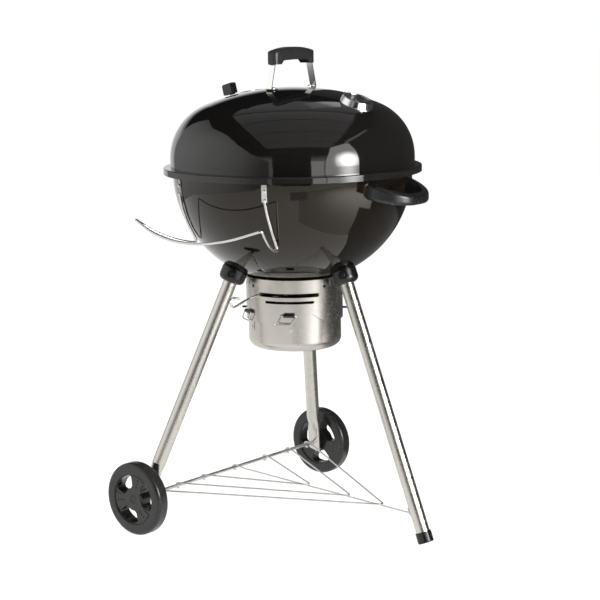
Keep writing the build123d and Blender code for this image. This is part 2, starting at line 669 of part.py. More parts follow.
def make_gauge_glass():
    seat = BEZEL_HEIGHT - GLASS_DEPTH - GLASS_SHEET
    return gauge_plane() * extrude(Plane.XY.offset(seat) * Circle(GLASS_RADIUS), GLASS_SHEET)


def make_probe():
    top = BEZEL_FLOOR + DIAL_SHEET
    stem = extrude(Plane.XY.offset(top) * Circle(PROBE_RADIUS), -PROBE_LENGTH)
    pivot = extrude(Plane.XY.offset(top) * Circle(PIVOT_RADIUS), NEEDLE_LIFT + 2 * NEEDLE_SHEET)
    return gauge_plane() * (stem + pivot)


def make_needle():
    low = BEZEL_FLOOR + DIAL_SHEET + NEEDLE_LIFT
    tail = -NEEDLE_REACH / 3
    outline = Polyline((tail, NEEDLE_HALF), (NEEDLE_REACH, NEEDLE_TIP_HALF),
                       (NEEDLE_REACH, -NEEDLE_TIP_HALF), (tail, -NEEDLE_HALF), close=True)
    needle = extrude(Plane.XY.offset(low) * make_face(outline), NEEDLE_SHEET)
    needle += extrude(Plane.XY.offset(low - NEEDLE_LIFT + SEAT_GAP) * Circle(NEEDLE_HUB),
                      NEEDLE_LIFT + NEEDLE_SHEET)
    needle -= Cylinder(PIVOT_RADIUS + RUNNING_GAP, 2 * BEZEL_HEIGHT)
    return gauge_plane() * Rot(0, 0, NEEDLE_REST) * needle


def make_gauge_nut():
    nut = Plane.XY.offset(-ENAMEL_STEEL - SEAT_GAP) * RegularPolygon(GAUGE_NUT, 6)
    nut = extrude(nut, -GAUGE_NUT_HEIGHT)
    return gauge_plane() * (nut - Cylinder(PROBE_RADIUS + FIXED_GAP, 2 * BEZEL_HEIGHT))


# ---- tripod ---------------------------------------------------------------
def leg_line(azimuth):
    """A leg's centre line: its top, and its lower end at the axle or at the ground."""
    top = polar(LEG_TOP_REACH, azimuth, LEG_TOP_HEIGHT)
    if azimuth == 0:
        return top, Vector(FRONT_FOOT_REACH, 0, 0)
    side = 1 if azimuth > 0 else -1
    return top, Vector(AXLE_X, side * LEG_TRACK, AXLE_HEIGHT)


def leg_top_plane(azimuth):
    """A plane at the leg's top: z points down along the leg and x away from the kettle."""
    top, end = leg_line(azimuth)
    down = (end - top).normalized()
    outward = polar(1, azimuth, 0)
    outward = (outward - down * outward.dot(down)).normalized()
    return Plane(top, x_dir=outward, z_dir=down)


def cap_screw_lines(azimuth):
    """For each screw of a leg cap, a frame on the leg's centre line with z along the screw."""
    plane = leg_top_plane(azimuth)
    return [plane * Rot(0, 0, side * CAP_SCREW_AZIMUTH) * Rot(0, 90, 0) for side in (-1, 1)]


def cap_screw_holes(azimuth):
    hole = extrude(Circle(CAP_SCREW_RADIUS + FIXED_GAP), 2 * CAP_RADIUS)
    return [line * hole for line in cap_screw_lines(azimuth)]


def make_leg_sockets():
    sockets = []
    for azimuth in LEG_AZIMUTHS:
        ring = Circle(SOCKET_RADIUS) - Circle(LEG_RADIUS + FIXED_GAP)
        start = leg_top_plane(azimuth).offset(-CAP_LENGTH)
        socket = extrude(start * ring, CAP_LENGTH + SOCKET_BELOW)
        socket -= bowl_fill()
        socket -= cap_screw_holes(azimuth)
        sockets.append(largest(socket))
    return Compound(children=sockets)


def make_leg_caps():
    caps = []
    for azimuth in LEG_AZIMUTHS:
        cap = Pos(0, 0, -CAP_RISE) * Cylinder(CAP_RADIUS, CAP_LENGTH)
        cap = fillet(rings(cap, CAP_RADIUS), CAP_ROUND)
        cap -= Cylinder(SOCKET_RADIUS + FIXED_GAP, 2 * CAP_LENGTH)
        cap = leg_top_plane(azimuth) * cap - bowl_fill(-SEAT_GAP)
        cap -= cap_screw_holes(azimuth)
        dimple = Plane.XY.offset(CAP_RADIUS - CAP_DIMPLE) * Circle(CAP_DIMPLE_RADIUS)
        for line in cap_screw_lines(azimuth):
            cap -= line * extrude(dimple, CAP_RADIUS)
        cap -= bracket_arm(azimuth, SEAT_GAP)
        caps.append(largest(cap))
    return Compound(children=caps)


def make_cap_screws():
    length = CAP_RADIUS - CAP_DIMPLE - LEG_RADIUS + 2 * LEG_WALL
    screw = headed_pin(CAP_SCREW_RADIUS, length, CAP_SCREW_HEAD, CAP_SCREW_RADIUS)
    screw = Pos(0, 0, CAP_RADIUS - CAP_DIMPLE) * screw
    return Compound(children=[line * screw for azimuth in LEG_AZIMUTHS
                              for line in cap_screw_lines(azimuth)])


def ground_fill(top):
    """Everything below a height."""
    return Pos(0, 0, top - FAR / 2) * Box(FAR, FAR, FAR)


def foot_end_plane():
    """The foot cap's end, square to the front leg, so that the cap stands on a flat."""
    top, end = leg_line(0)
    down = (end - top).normalized()
    set_back = ((FOOT_CAP_RADIUS * down.X) - FOOT_CAP_DIP) / -down.Z
    return leg_top_plane(0).offset((end - top).length - set_back)


def make_front_leg():
    plane = leg_top_plane(0)
    ring = Circle(LEG_RADIUS) - Circle(LEG_RADIUS - LEG_WALL)
    length = (foot_end_plane().origin - plane.origin).length + LEG_RISE - FOOT_CAP_SOLE
    leg = extrude(plane.offset(-LEG_RISE) * ring, length)
    leg -= bowl_fill(-SEAT_GAP)
    leg -= cap_screw_holes(0)
    leg -= rack_bolt_plane() * Cylinder(RACK_BOLT_RADIUS + FIXED_GAP, LEG_RADIUS)
    return largest(leg)


def make_foot_cap():
    plane = foot_end_plane()
    cap = extrude(plane * Circle(FOOT_CAP_RADIUS), -FOOT_CAP_LENGTH)
    cap = fillet(cap.edges().sort_by(Axis.Z)[0], FOOT_CAP_ROUND)
    bore = Circle(FOOT_CAP_RADIUS - FOOT_CAP_WALL)
    cap -= extrude(plane.offset(SEAT_GAP - FOOT_CAP_SOLE) * bore, -FOOT_CAP_LENGTH)
    return largest(cap - ground_fill(0))


def make_wheel_leg(azimuth):
    top, axle_point = leg_line(azimuth)
    side = 1 if azimuth > 0 else -1
    up = (top - axle_point).normalized()
    across = Vector(0, side, 0)
    across = (across - up * across.dot(up)).normalized()
    plane = Plane(axle_point, x_dir=across.cross(up), z_dir=up)
    length = (top - axle_point).length
    flat = RectangleRounded(TONGUE_WIDTH, TONGUE_THICKNESS, TONGUE_EDGE)
    tongue = extrude(Plane.XY.offset(-TONGUE_BELOW) * flat, TONGUE_BELOW + TONGUE_ABOVE)
    corners = Plane.XZ * Pos(0, TONGUE_ABOVE) * RectangleRounded(
        TONGUE_WIDTH, 2 * (TONGUE_BELOW + TONGUE_ABOVE), TONGUE_ROUND)
    tongue &= extrude(corners, TONGUE_WIDTH, both=True)
    round_start = TONGUE_ABOVE + TONGUE_TAPER
    taper = loft([Plane.XY.offset(TONGUE_ABOVE) * flat,
                  Plane.XY.offset(round_start) * Circle(LEG_RADIUS)])
    tube_length = length + LEG_RISE - round_start
    pipe = extrude(Plane.XY.offset(round_start) * Circle(LEG_RADIUS), tube_length)
    pipe = pipe + taper + tongue
    pipe -= extrude(Plane.XY.offset(round_start) * Circle(LEG_RADIUS - LEG_WALL), tube_length)
    leg = plane * pipe
    leg -= bowl_fill(-SEAT_GAP)
    leg -= cap_screw_holes(azimuth)
    hole = Pos(AXLE_X, 0, AXLE_HEIGHT) * Rot(90, 0, 0) * Cylinder(AXLE_RADIUS + FIXED_GAP, FAR)
    return largest(leg - hole)


# ---- wheels and axle ------------------------------------------------------
def across_axle(shape, offset=0.0):
    """Turn an upright shape so that its +Z points along +Y, with its middle on the axle."""
    return Pos(AXLE_X, offset, AXLE_HEIGHT) * Rot(-90, 0, 0) * shape


def make_axle():
    reach = WHEEL_TRACK + AXLE_CAP_SEAT + AXLE_CAP_DEPTH / 2
    return across_axle(Cylinder(AXLE_RADIUS, 2 * reach))


def kidney():
    """The cut between two spokes, about the +X direction."""
    outer = TYRE_INNER - KIDNEY_LIP
    turn = radians(KIDNEY_HALF_ANGLE)
    sides = [Line((KIDNEY_INNER * cos(turn), side * KIDNEY_INNER * sin(turn)),
                  (outer * cos(turn), side * outer * sin(turn))) for side in (-1, 1)]
    arcs = [CenterArc((0, 0), radius, -KIDNEY_HALF_ANGLE, 2 * KIDNEY_HALF_ANGLE)
            for radius in (KIDNEY_INNER, outer)]
    opening = make_face([line.edge() for line in sides + arcs])
    opening = fillet(opening.vertices(), KIDNEY_ROUND)
    return extrude(opening, WHEEL_WIDTH, both=True)


def make_wheel(spoke_angle, side):
    """A moulded wheel whose dressed face points away from the grill."""
    tyre = tube(WHEEL_RADIUS, TYRE_INNER, -WHEEL_WIDTH / 2, WHEEL_WIDTH / 2)
    tyre = fillet(rings(tyre, WHEEL_RADIUS), TYRE_ROUND)
    tyre = fillet(rings(tyre, TYRE_INNER), TYRE_INNER_ROUND)
    web = Cylinder(TYRE_INNER + KIDNEY_LIP, WEB_WIDTH)
    plate = Circle(HUB_PLATE_REACH)
    hollow = Pos(HUB_PLATE_WAIST + HUB_PLATE_SWEEP, 0) * Circle(HUB_PLATE_SWEEP)
    for index in range(WHEEL_SPOKES):
        plate -= Rot(0, 0, (index + 0.5) * 360 / WHEEL_SPOKES) * hollow
    web += extrude(Plane.XY.offset(WEB_WIDTH / 2) * plate, HUB_PLATE_RISE)
    for index in range(WHEEL_SPOKES):
        web -= Rot(0, 0, (index + 0.5) * 360 / WHEEL_SPOKES) * kidney()
        for reach in DIMPLE_REACHES:
            dimple = Pos(reach, 0, WEB_FACE) * Cylinder(DIMPLE_RADIUS, 2 * DIMPLE_DEPTH)
            web -= Rot(0, 0, index * 360 / WHEEL_SPOKES) * dimple
    hub_end = WHEEL_WIDTH / 2 - HUB_SINK
    wheel = tyre + web + tube(HUB_RADIUS, AXLE_RADIUS, -WHEEL_WIDTH / 2, hub_end)
    wheel -= Cylinder(AXLE_RADIUS + RUNNING_GAP, 2 * WHEEL_WIDTH)
    recess = Plane.XY.offset(WHEEL_WIDTH / 2 - AXLE_CAP_SINK)
    wheel -= extrude(recess * Circle(AXLE_CAP_RADIUS + SEAT_GAP), AXLE_CAP_SINK)
    if side < 0:
        return across_axle(Rot(180, 0, 0) * Rot(0, 0, spoke_angle) * wheel, -WHEEL_TRACK)
    return across_axle(Rot(0, 0, -spoke_angle) * wheel, WHEEL_TRACK)


def make_axle_caps():
    cap = extrude(Plane.XY.offset(AXLE_CAP_SEAT) * Circle(AXLE_CAP_RADIUS), AXLE_CAP_DEPTH)
    cap = fillet(cap.edges().group_by(Axis.Z)[-1], AXLE_CAP_ROUND)
    caps = [across_axle(Rot(90 - 90 * side, 0, 0) * cap, side * WHEEL_TRACK) - make_axle()
            for side in (-1, 1)]
    return Compound(children=caps)


def make_axle_spacers():
    spacers = []
    for side in (-1, 1):
        ring = across_axle(Cylinder(SPACER_RADIUS, SPACER_REACH),
                           side * (LEG_TRACK + SPACER_REACH / 2))
        ring -= make_wheel_leg(side * REAR_LEG_AZIMUTH)
        ring -= across_axle(Cylinder(AXLE_RADIUS + FIXED_GAP, FAR))
        spacers.append(ring.solids().sort_by(lambda solid: abs(solid.center().Y))[-1])
    return Compound(children=spacers)


# ---- bottom rack ----------------------------------------------------------
def rack_height_at(x):
    """Height of the rack's bent wires, which fall from the axle to the front leg."""
    start = AXLE_HEIGHT + RACK_LOOP
    end = rack_end()
    share = (x - AXLE_X) / (end.X - AXLE_X)
    return start + (end.Z + RACK_WELD - start) * share


def rack_tab_plane():
    """A plane at the middle of the rack's tab: x points into the front leg, z down along it."""
    plane = leg_top_plane(0)
    seat = LEG_RADIUS + SEAT_GAP + RACK_TAB_SHEET
    plane.origin = plane.from_local_coords(Vector(-seat, 0, RACK_TAB_ALONG))
    return plane


def rack_end():
    """Where the rack's middle wire meets the tab."""
    return rack_tab_plane().from_local_coords(Vector(RACK_TAB_SHEET / 2, 0, RACK_TAB_SHIFT))


def rack_bolt_plane():
    """The plane of the bolt head's seat on the tab: z points away from the leg."""
    plane = rack_tab_plane()
    seat = plane.from_local_coords(Vector(0, 0, -RACK_TAB_SHIFT))
    return Plane(seat, z_dir=-plane.x_dir)


def axle_loop(y):
    """Corner points of a wire's loop round the axle, and of its first straight run."""
    back = AXLE_X - RACK_LOOP
    run = back + RACK_STRAIGHT
    return [(AXLE_X + RACK_LOOP_TAIL, y, AXLE_HEIGHT - RACK_LOOP),
            (back, y, AXLE_HEIGHT - RACK_LOOP),
            (back, y, AXLE_HEIGHT + RACK_LOOP),
            (run, y, rack_height_at(run))]


def make_bottom_rack():
    bends = [RACK_LOOP_BEND, RACK_LOOP_BEND, RACK_SPREAD_BEND, RACK_TIP_BEND]
    tab_plane = rack_tab_plane()
    tab = Pos(RACK_TAB_SHEET / 2, 0, 0) * Box(RACK_TAB_SHEET, RACK_TAB_WIDTH, RACK_TAB_HEIGHT)
    rack = tab_plane * tab
    rack -= rack_bolt_plane() * Cylinder(RACK_BOLT_RADIUS + FIXED_GAP, RACK_TAB_HEIGHT)
    dip = AXLE_X + 2 * RACK_STRAIGHT
    middle = [*axle_loop(0), (dip, 0, rack_height_at(dip) - RACK_WELD),
              rack_end()]
    rack += wire(middle, [*bends[:2], RACK_SPREAD_BEND, RACK_SPREAD_BEND], RACK_WIRE)
    for spread, tip in zip(RACK_SPREADS, RACK_TIPS):
        left = [*axle_loop(-spread), (tip, -RACK_TIP_HALF, rack_height_at(tip))]
        right = [*axle_loop(spread), (tip, RACK_TIP_HALF, rack_height_at(tip))]
        rack += wire(left + right[::-1], bends + bends[::-1], RACK_WIRE)
    return rack


def make_rack_bolt():
    length = RACK_TAB_SHEET + SEAT_GAP + 3 * LEG_WALL
    return rack_bolt_plane() * headed_pin(RACK_BOLT_RADIUS, length, RACK_BOLT_HEAD,
                                          RACK_BOLT_RADIUS)


# ---- side handle ----------------------------------------------------------
def bow_screw_plane(side):
    """The bowl plane at a side-handle screw."""
    height = RIM_HEIGHT - BOW_SCREW_DROP
    aside = BOW_HALF_WIDTH - BOW_SIDE_BAR / 2
    swing = degrees(asin(aside / bowl_radius_at(height)))
    return bowl_plane(BOW_AZIMUTH + side * swing, height)


def make_side_handle():
    outer = Rectangle(2 * BOW_REACH, 2 * BOW_HALF_WIDTH)
    outer = fillet(outer.vertices(), BOW_CORNER)
    inner = Rectangle(2 * (BOW_REACH - BOW_FRONT_BAR), 2 * (BOW_HALF_WIDTH - BOW_SIDE_BAR))
    inner = fillet(inner.vertices(), BOW_CORNER - BOW_SIDE_BAR)
    top = RIM_HEIGHT - BOW_TOP_DROP
    front = RIM_HEIGHT - BOW_FRONT_DROP
    root = BOWL_RADIUS - BOW_SIDE_BAR
    profile = make_face(Polyline((root, top), (BOW_REACH, front),
                                 (BOW_REACH, front - BOW_FRONT_HEIGHT),
                                 (root, top - BOW_ROOT_HEIGHT), close=True))
    bow = extrude(Plane.XZ * profile, BOW_HALF_WIDTH, both=True)
    bow &= extrude(Plane.XY.offset(RIM_HEIGHT / 2) * (outer - inner), RIM_HEIGHT)
    long_edges = [edge for edge in bow.edges()
                  if (edge @ 0.5).X > root + BOW_EDGE_ROUND and abs((edge % 0.5).Z) < 0.9]
    bow = Rot(0, 0, BOW_AZIMUTH) * fillet(long_edges, BOW_EDGE_ROUND)
    bow -= bowl_fill(-SEAT_GAP)
    for side in (-1, 1):
        bow -= bow_screw_plane(side) * Cylinder(BOW_SCREW_RADIUS + FIXED_GAP,
                                                2 * BOW_SCREW_LENGTH)
    return largest(bow)


def make_side_handle_screws():
    screw = headed_pin(BOW_SCREW_RADIUS, BOW_SCREW_LENGTH, BOW_SCREW_HEAD, BOW_SCREW_RADIUS)
    screw = Pos(0, 0, -ENAMEL_STEEL - SEAT_GAP) * Rot(180, 0, 0) * screw
    return Compound(children=[bow_screw_plane(side) * screw for side in (-1, 1)])


# ---- lid holder -----------------------------------------------------------
def holder_rivet_plane(azimuth):
    return bowl_plane(azimuth, RIM_HEIGHT - HOLDER_RIVET_DROP)


def holder_points():
    """Corner points of the wire, from its right-hand plate to the middle of its sagging bar."""
    points = []
    for height, swing in HOLDER_DESCENT:
        radius = bowl_radius_at(height) + HOLDER_STAND_OFF
        points.append(polar(radius, HOLDER_AZIMUTH + swing, height))
    elbow, corner = Vector(HOLDER_ELBOW), Vector(HOLDER_CORNER)
    points += [elbow, (elbow + corner) / 2 - Vector(0, 0, HOLDER_ARM_SAG), corner]
    for share in HOLDER_ARC_SHARES:
        sag = 1 - share ** 2
        points.append(Vector(HOLDER_CORNER[0] * share, HOLDER_CORNER[1] - HOLDER_SAG_OUT * sag,
                             HOLDER_CORNER[2] - HOLDER_SAG_DOWN * sag))
    return points


def make_lid_holder():
    right = holder_points()
    left = [Vector(-point.X, point.Y, point.Z) for point in reversed(right)]
    bends = [HOLDER_EASY_BEND, HOLDER_EASY_BEND, HOLDER_TIGHT_BEND, HOLDER_ARM_BEND,
             HOLDER_TIGHT_BEND, HOLDER_ARC_BEND, HOLDER_ARC_BEND]
    holder = wire(right + left, bends + bends[::-1], HOLDER_WIRE)
    plate_middle = RIM_HEIGHT - HOLDER_PLATE_TOP - HOLDER_PLATE_LENGTH / 2
    layer = bowl_shell(-SEAT_GAP, -SEAT_GAP - HOLDER_PLATE_SHEET)
    for azimuth in HOLDER_AZIMUTHS:
        block = Pos(BOWL_RADIUS, 0, plate_middle) * Box(BOWL_RADIUS, HOLDER_PLATE_WIDTH,
                                                        HOLDER_PLATE_LENGTH)
        plate = layer & (Rot(0, 0, azimuth) * block)
        plate -= holder_rivet_plane(azimuth) * Cylinder(HOLDER_RIVET_RADIUS + FIXED_GAP,
                                                        HOLDER_PLATE_WIDTH)
        holder += plate
    return holder


def make_holder_rivets():
    under_head = 2 * SEAT_GAP + HOLDER_PLATE_SHEET
    grip = under_head + ENAMEL_STEEL + SEAT_GAP
    pin = Pos(0, 0, under_head) * rivet(HOLDER_RIVET_RADIUS, grip, HOLDER_RIVET_HEAD,
                                        HOLDER_RIVET_RADIUS)
    return Compound(children=[holder_rivet_plane(azimuth) * pin for azimuth in HOLDER_AZIMUTHS])


# ---- ash catcher ----------------------------------------------------------
def skirt_slot(azimuth, half_angle, height, gap):
    """A slot through the skirt with round ends."""
    inner = SKIRT_RADIUS - EAR_RADIUS
    outer = SKIRT_RADIUS + EAR_RADIUS
    reach = half_angle - degrees(gap / 2 / SKIRT_RADIUS)
    slot = ring_sector(inner, outer, height - gap / 2, height + gap / 2, azimuth, reach)
    for side in (-1, 1):
        turn = azimuth + side * reach
        slot += rod(polar(inner, turn, height), polar(outer, turn, height), gap / 2)
    return slot


def make_ash_skirt():
    skirt = tube(SKIRT_RADIUS, SKIRT_RADIUS - STEEL_SHEET, SKIRT_BOTTOM, SKIRT_TOP)
    skirt -= skirt_slot(UPPER_SLOT_AZIMUTH, UPPER_SLOT_HALF_ANGLE, UPPER_SLOT_HEIGHT,
                        UPPER_SLOT_GAP)
    skirt -= skirt_slot(FRONT_AZIMUTH, LOWER_SLOT_HALF_ANGLE, LOWER_SLOT_HEIGHT, LOWER_SLOT_GAP)
    for azimuth in LEG_AZIMUTHS:
        for side in (-1, 1):
            turn = azimuth + side * SKIRT_HOLE_AZIMUTH
            skirt -= rod(polar(CAN_RADIUS, turn, SKIRT_HOLE_HEIGHT),
                         polar(EAR_CENTRE, turn, SKIRT_HOLE_HEIGHT), SKIRT_HOLE_RADIUS)
    low_half = SKIRT_RADIUS * sin(radians(NOTCH_HALF_BOTTOM))
    top_half = SKIRT_RADIUS * sin(radians(NOTCH_HALF_TOP))
    top = SKIRT_BOTTOM + NOTCH_HEIGHT
    notch = Polyline((-low_half, SKIRT_BOTTOM), (low_half, SKIRT_BOTTOM), (top_half, top),
                     (-top_half, top), close=True)
    skirt -= Rot(0, 0, NOTCH_AZIMUTH + 90) * extrude(Plane.XZ * make_face(notch), FAR)
    return skirt


def bracket_arm(azimuth, gap=0.0):
    """The level arm of a bracket, from the skirt towards the leg, grown by a gap."""
    length = LEG_TOP_REACH - SKIRT_RADIUS
    arm = Pos(SKIRT_RADIUS + SEAT_GAP + length / 2, 0, BRACKET_TOP - BRACKET_SHEET / 2) * Box(
        length, BRACKET_WIDTH + 2 * gap, BRACKET_SHEET + 2 * gap)
    return Rot(0, 0, azimuth) * arm


def make_skirt_brackets():
    brackets = []
    for azimuth in LEG_AZIMUTHS:
        flange = ring_sector(SKIRT_RADIUS + SEAT_GAP, SKIRT_RADIUS + SEAT_GAP + BRACKET_SHEET,
                             BRACKET_TOP - BRACKET_HEIGHT, BRACKET_TOP, azimuth,
                             degrees(BRACKET_WIDTH / 2 / SKIRT_RADIUS))
        bracket = flange + bracket_arm(azimuth)
        plane = leg_top_plane(azimuth)
        bracket -= plane * Cylinder(SOCKET_RADIUS + SEAT_GAP, 4 * CAP_LENGTH)
        brackets.append(largest(bracket))
    return Compound(children=brackets)


def make_skirt_studs():
    studs = []
    for side in (-1, 1):
        turn = FRONT_AZIMUTH + 90 * side
        base = polar(SKIRT_RADIUS, turn, STUD_HEIGHT)
        stud = extrude(Circle(STUD_RADIUS), STUD_LENGTH)
        stud = fillet(stud.edges().group_by(Axis.Z)[-1], STUD_ROUND)
        studs.append(Plane(base, z_dir=polar(1, turn, 0)) * stud)
    return Compound(children=studs)


def ear_frame(azimuth):
    """A frame at an ear: x along its bore, y straight up and z away from the skirt."""
    return Plane(polar(EAR_CENTRE, azimuth, EAR_HEIGHT), x_dir=polar(1, azimuth + 90, 0),
                 z_dir=polar(1, azimuth, 0))


def make_bail_ears():
    ears = []
    for azimuth in EAR_AZIMUTHS:
        ear = Rot(0, 90, 0) * Cylinder(EAR_RADIUS, EAR_LENGTH)
        ear += Pos(0, 0, -EAR_RADIUS / 2) * Box(EAR_LENGTH, EAR_RADIUS, EAR_RADIUS)
        ear -= Rot(0, 90, 0) * Cylinder(BAIL_WIRE + RUNNING_GAP, 2 * EAR_LENGTH)
        ear = ear_frame(azimuth) * ear
        ear -= tube(SKIRT_RADIUS + SEAT_GAP, CAN_RADIUS, SKIRT_BOTTOM, SKIRT_TOP)
        ears.append(largest(ear))
    return Compound(children=ears)


def make_bail(azimuth):
    """A wire loop whose upper run turns in an ear and whose lower run is shifted sideways."""
    bends = [BAIL_BEND, BAIL_BEND]
    bail = None
    for side in (-1, 1):
        corner = side * BAIL_HALF_WIDTH
        points = [(0, 0, 0), (corner, 0, 0), (corner - BAIL_SKEW, -BAIL_DROP, 0),
                  (-BAIL_SKEW, -BAIL_DROP, 0)]
        half = wire(points, bends, BAIL_WIRE)
        bail = half if bail is None else bail + half
    return ear_frame(azimuth) * bail


def can_rivet_plane(azimuth):
    """The seat of a rivet head on the plate below a bail."""
    turn = azimuth + PLATE_TURN
    return Plane(polar(CAN_RADIUS + PLATE_SHEET, turn, PLATE_RIVET_HEIGHT),
                 z_dir=polar(1, turn, 0))


def can_rivet_holes():
    hole = Cylinder(PLATE_RIVET_RADIUS + FIXED_GAP, PLATE_WIDTH)
    return [can_rivet_plane(azimuth) * hole for azimuth in EAR_AZIMUTHS]


def make_ash_can():
    corner = CAN_RADIUS - CAN_CORNER
    inner = CAN_RADIUS - STEEL_SHEET
    lift = CAN_BOTTOM + CAN_CORNER
    rim = SKIRT_RADIUS - STEEL_SHEET - SEAT_GAP
    can = turned(
        Polyline((corner, CAN_BOTTOM + STEEL_SHEET), (0, CAN_BOTTOM + STEEL_SHEET),
                 (0, CAN_BOTTOM), (corner, CAN_BOTTOM)),
        CenterArc((corner, lift), CAN_CORNER, -90, 90),
        Polyline((CAN_RADIUS, lift), (CAN_RADIUS, CAN_TOP - CAN_RIM_SHEET),
                 (rim, CAN_TOP - CAN_RIM_SHEET), (rim, CAN_TOP), (inner, CAN_TOP),
                 (inner, lift)),
        CenterArc((corner, lift), CAN_CORNER - STEEL_SHEET, -90, 90))
    return can - can_rivet_holes()


def make_can_plates():
    half_turn = degrees(PLATE_WIDTH / 2 / CAN_RADIUS)
    plates = [ring_sector(CAN_RADIUS, CAN_RADIUS + PLATE_SHEET, PLATE_BOTTOM, PLATE_TOP,
                          azimuth + PLATE_TURN, half_turn) for azimuth in EAR_AZIMUTHS]
    return Compound(children=[plate - can_rivet_holes() for plate in plates])


def make_can_rivets():
    grip = PLATE_SHEET + STEEL_SHEET + SEAT_GAP
    pin = rivet(PLATE_RIVET_RADIUS, grip, PLATE_RIVET_HEAD, PLATE_RIVET_DOME)
    return Compound(children=[can_rivet_plane(azimuth) * pin for azimuth in EAR_AZIMUTHS])


# ---- ash sweeper ----------------------------------------------------------
def make_sweeper():
    slot = UPPER_SLOT_HEIGHT
    low = slot - LEVER_BOSS_HEIGHT / 2
    hub_base = BOWL_FLOOR + BLADE_UNDER
    sweeper = drum(SHAFT_RADIUS, low, hub_base + SWEEPER_HUB_HEIGHT)
    sweeper += drum(LEVER_BOSS_RADIUS, low, low + LEVER_BOSS_HEIGHT)
    sweeper += drum(SWEEPER_HUB_RADIUS, hub_base, hub_base + SWEEPER_HUB_HEIGHT)
    layer = bowl_shell(BLADE_UNDER + BLADE_SHEET, BLADE_UNDER)
    for index in range(BOWL_VENTS):
        azimuth = LEVER_AZIMUTH + BLADE_LEAD + index * 360 / BOWL_VENTS
        sweeper += layer & ring_sector(SHAFT_RADIUS, BLADE_REACH, BOWL_FLOOR, GRATE_HEIGHT,
                                       azimuth, BLADE_HALF_ANGLE)
    points = [polar(0, LEVER_AZIMUTH, slot)]
    for radius, rise, _ in LEVER_BENDS:
        points.append(polar(radius, LEVER_AZIMUTH, slot + rise))
    points.append(polar(LEVER_END[0], LEVER_AZIMUTH, slot + LEVER_END[1]))
    sweeper += wire(points, [bend for _, _, bend in LEVER_BENDS], LEVER_WIRE)
    return sweeper


# ---- grates ---------------------------------------------------------------
def grate(ring_radius, ring_wire, rod_wire, pitch):
    """A wire ring with parallel rods welded across its top, about z = 0."""
    rise = ring_wire + rod_wire - ROD_WELD
    mesh = Torus(ring_radius, ring_wire)
    count = int((ring_radius - pitch / 2) / pitch)
    for index in range(-count, count + 1):
        aside = index * pitch
        half = sqrt(ring_radius ** 2 - aside ** 2)
        mesh += Pos(aside, 0, rise) * Rot(90, 0, 0) * Cylinder(rod_wire, 2 * half)
    return mesh


def make_cooking_grate():
    mesh = grate(GRATE_RING_RADIUS, GRATE_RING_WIRE, GRATE_ROD_WIRE, GRATE_PITCH)
    root = sqrt(GRATE_RING_RADIUS ** 2 - GRATE_GRIP_HALF ** 2)
    for side in (-1, 1):
        points = [(side * root, -GRATE_GRIP_HALF, 0),
                  (side * root, -GRATE_GRIP_HALF, GRATE_GRIP_RISE),
                  (side * root, GRATE_GRIP_HALF, GRATE_GRIP_RISE),
                  (side * root, GRATE_GRIP_HALF, 0)]
        mesh += wire(points, [GRATE_GRIP_BEND, GRATE_GRIP_BEND], GRATE_GRIP_WIRE)
    return Pos(0, 0, GRATE_HEIGHT) * mesh


def make_charcoal_grate():
    mesh = grate(COAL_RING_RADIUS, COAL_RING_WIRE, COAL_ROD_WIRE, COAL_PITCH)
    return Pos(0, 0, COAL_HEIGHT) * mesh


def make_grate_shelves():
    inside = bowl_fill(ENAMEL_STEEL)
    wall = bowl_shell(ENAMEL_STEEL + SHELF_SHEET, ENAMEL_STEEL)
    low = SHELF_TOP - SHELF_LEG
    reach = bowl_radius_at(SHELF_TOP) - ENAMEL_STEEL - SHELF_REACH
    shelves = []
    for index in range(SHELF_COUNT):
        turn = Rot(0, 0, SHELF_AZIMUTH + index * 360 / SHELF_COUNT)
        leg = Pos(BOWL_RADIUS, 0, (low + SHELF_TOP) / 2) * Box(BOWL_RADIUS, SHELF_WIDTH,
                                                               SHELF_LEG)
        top = Pos(reach + BOWL_RADIUS / 2, 0, SHELF_TOP - SHELF_SHEET / 2) * Box(
            BOWL_RADIUS, SHELF_WIDTH, SHELF_SHEET)
        shelves.append((turn * leg & wall) + (turn * top & inside))
    return Compound(children=shelves)


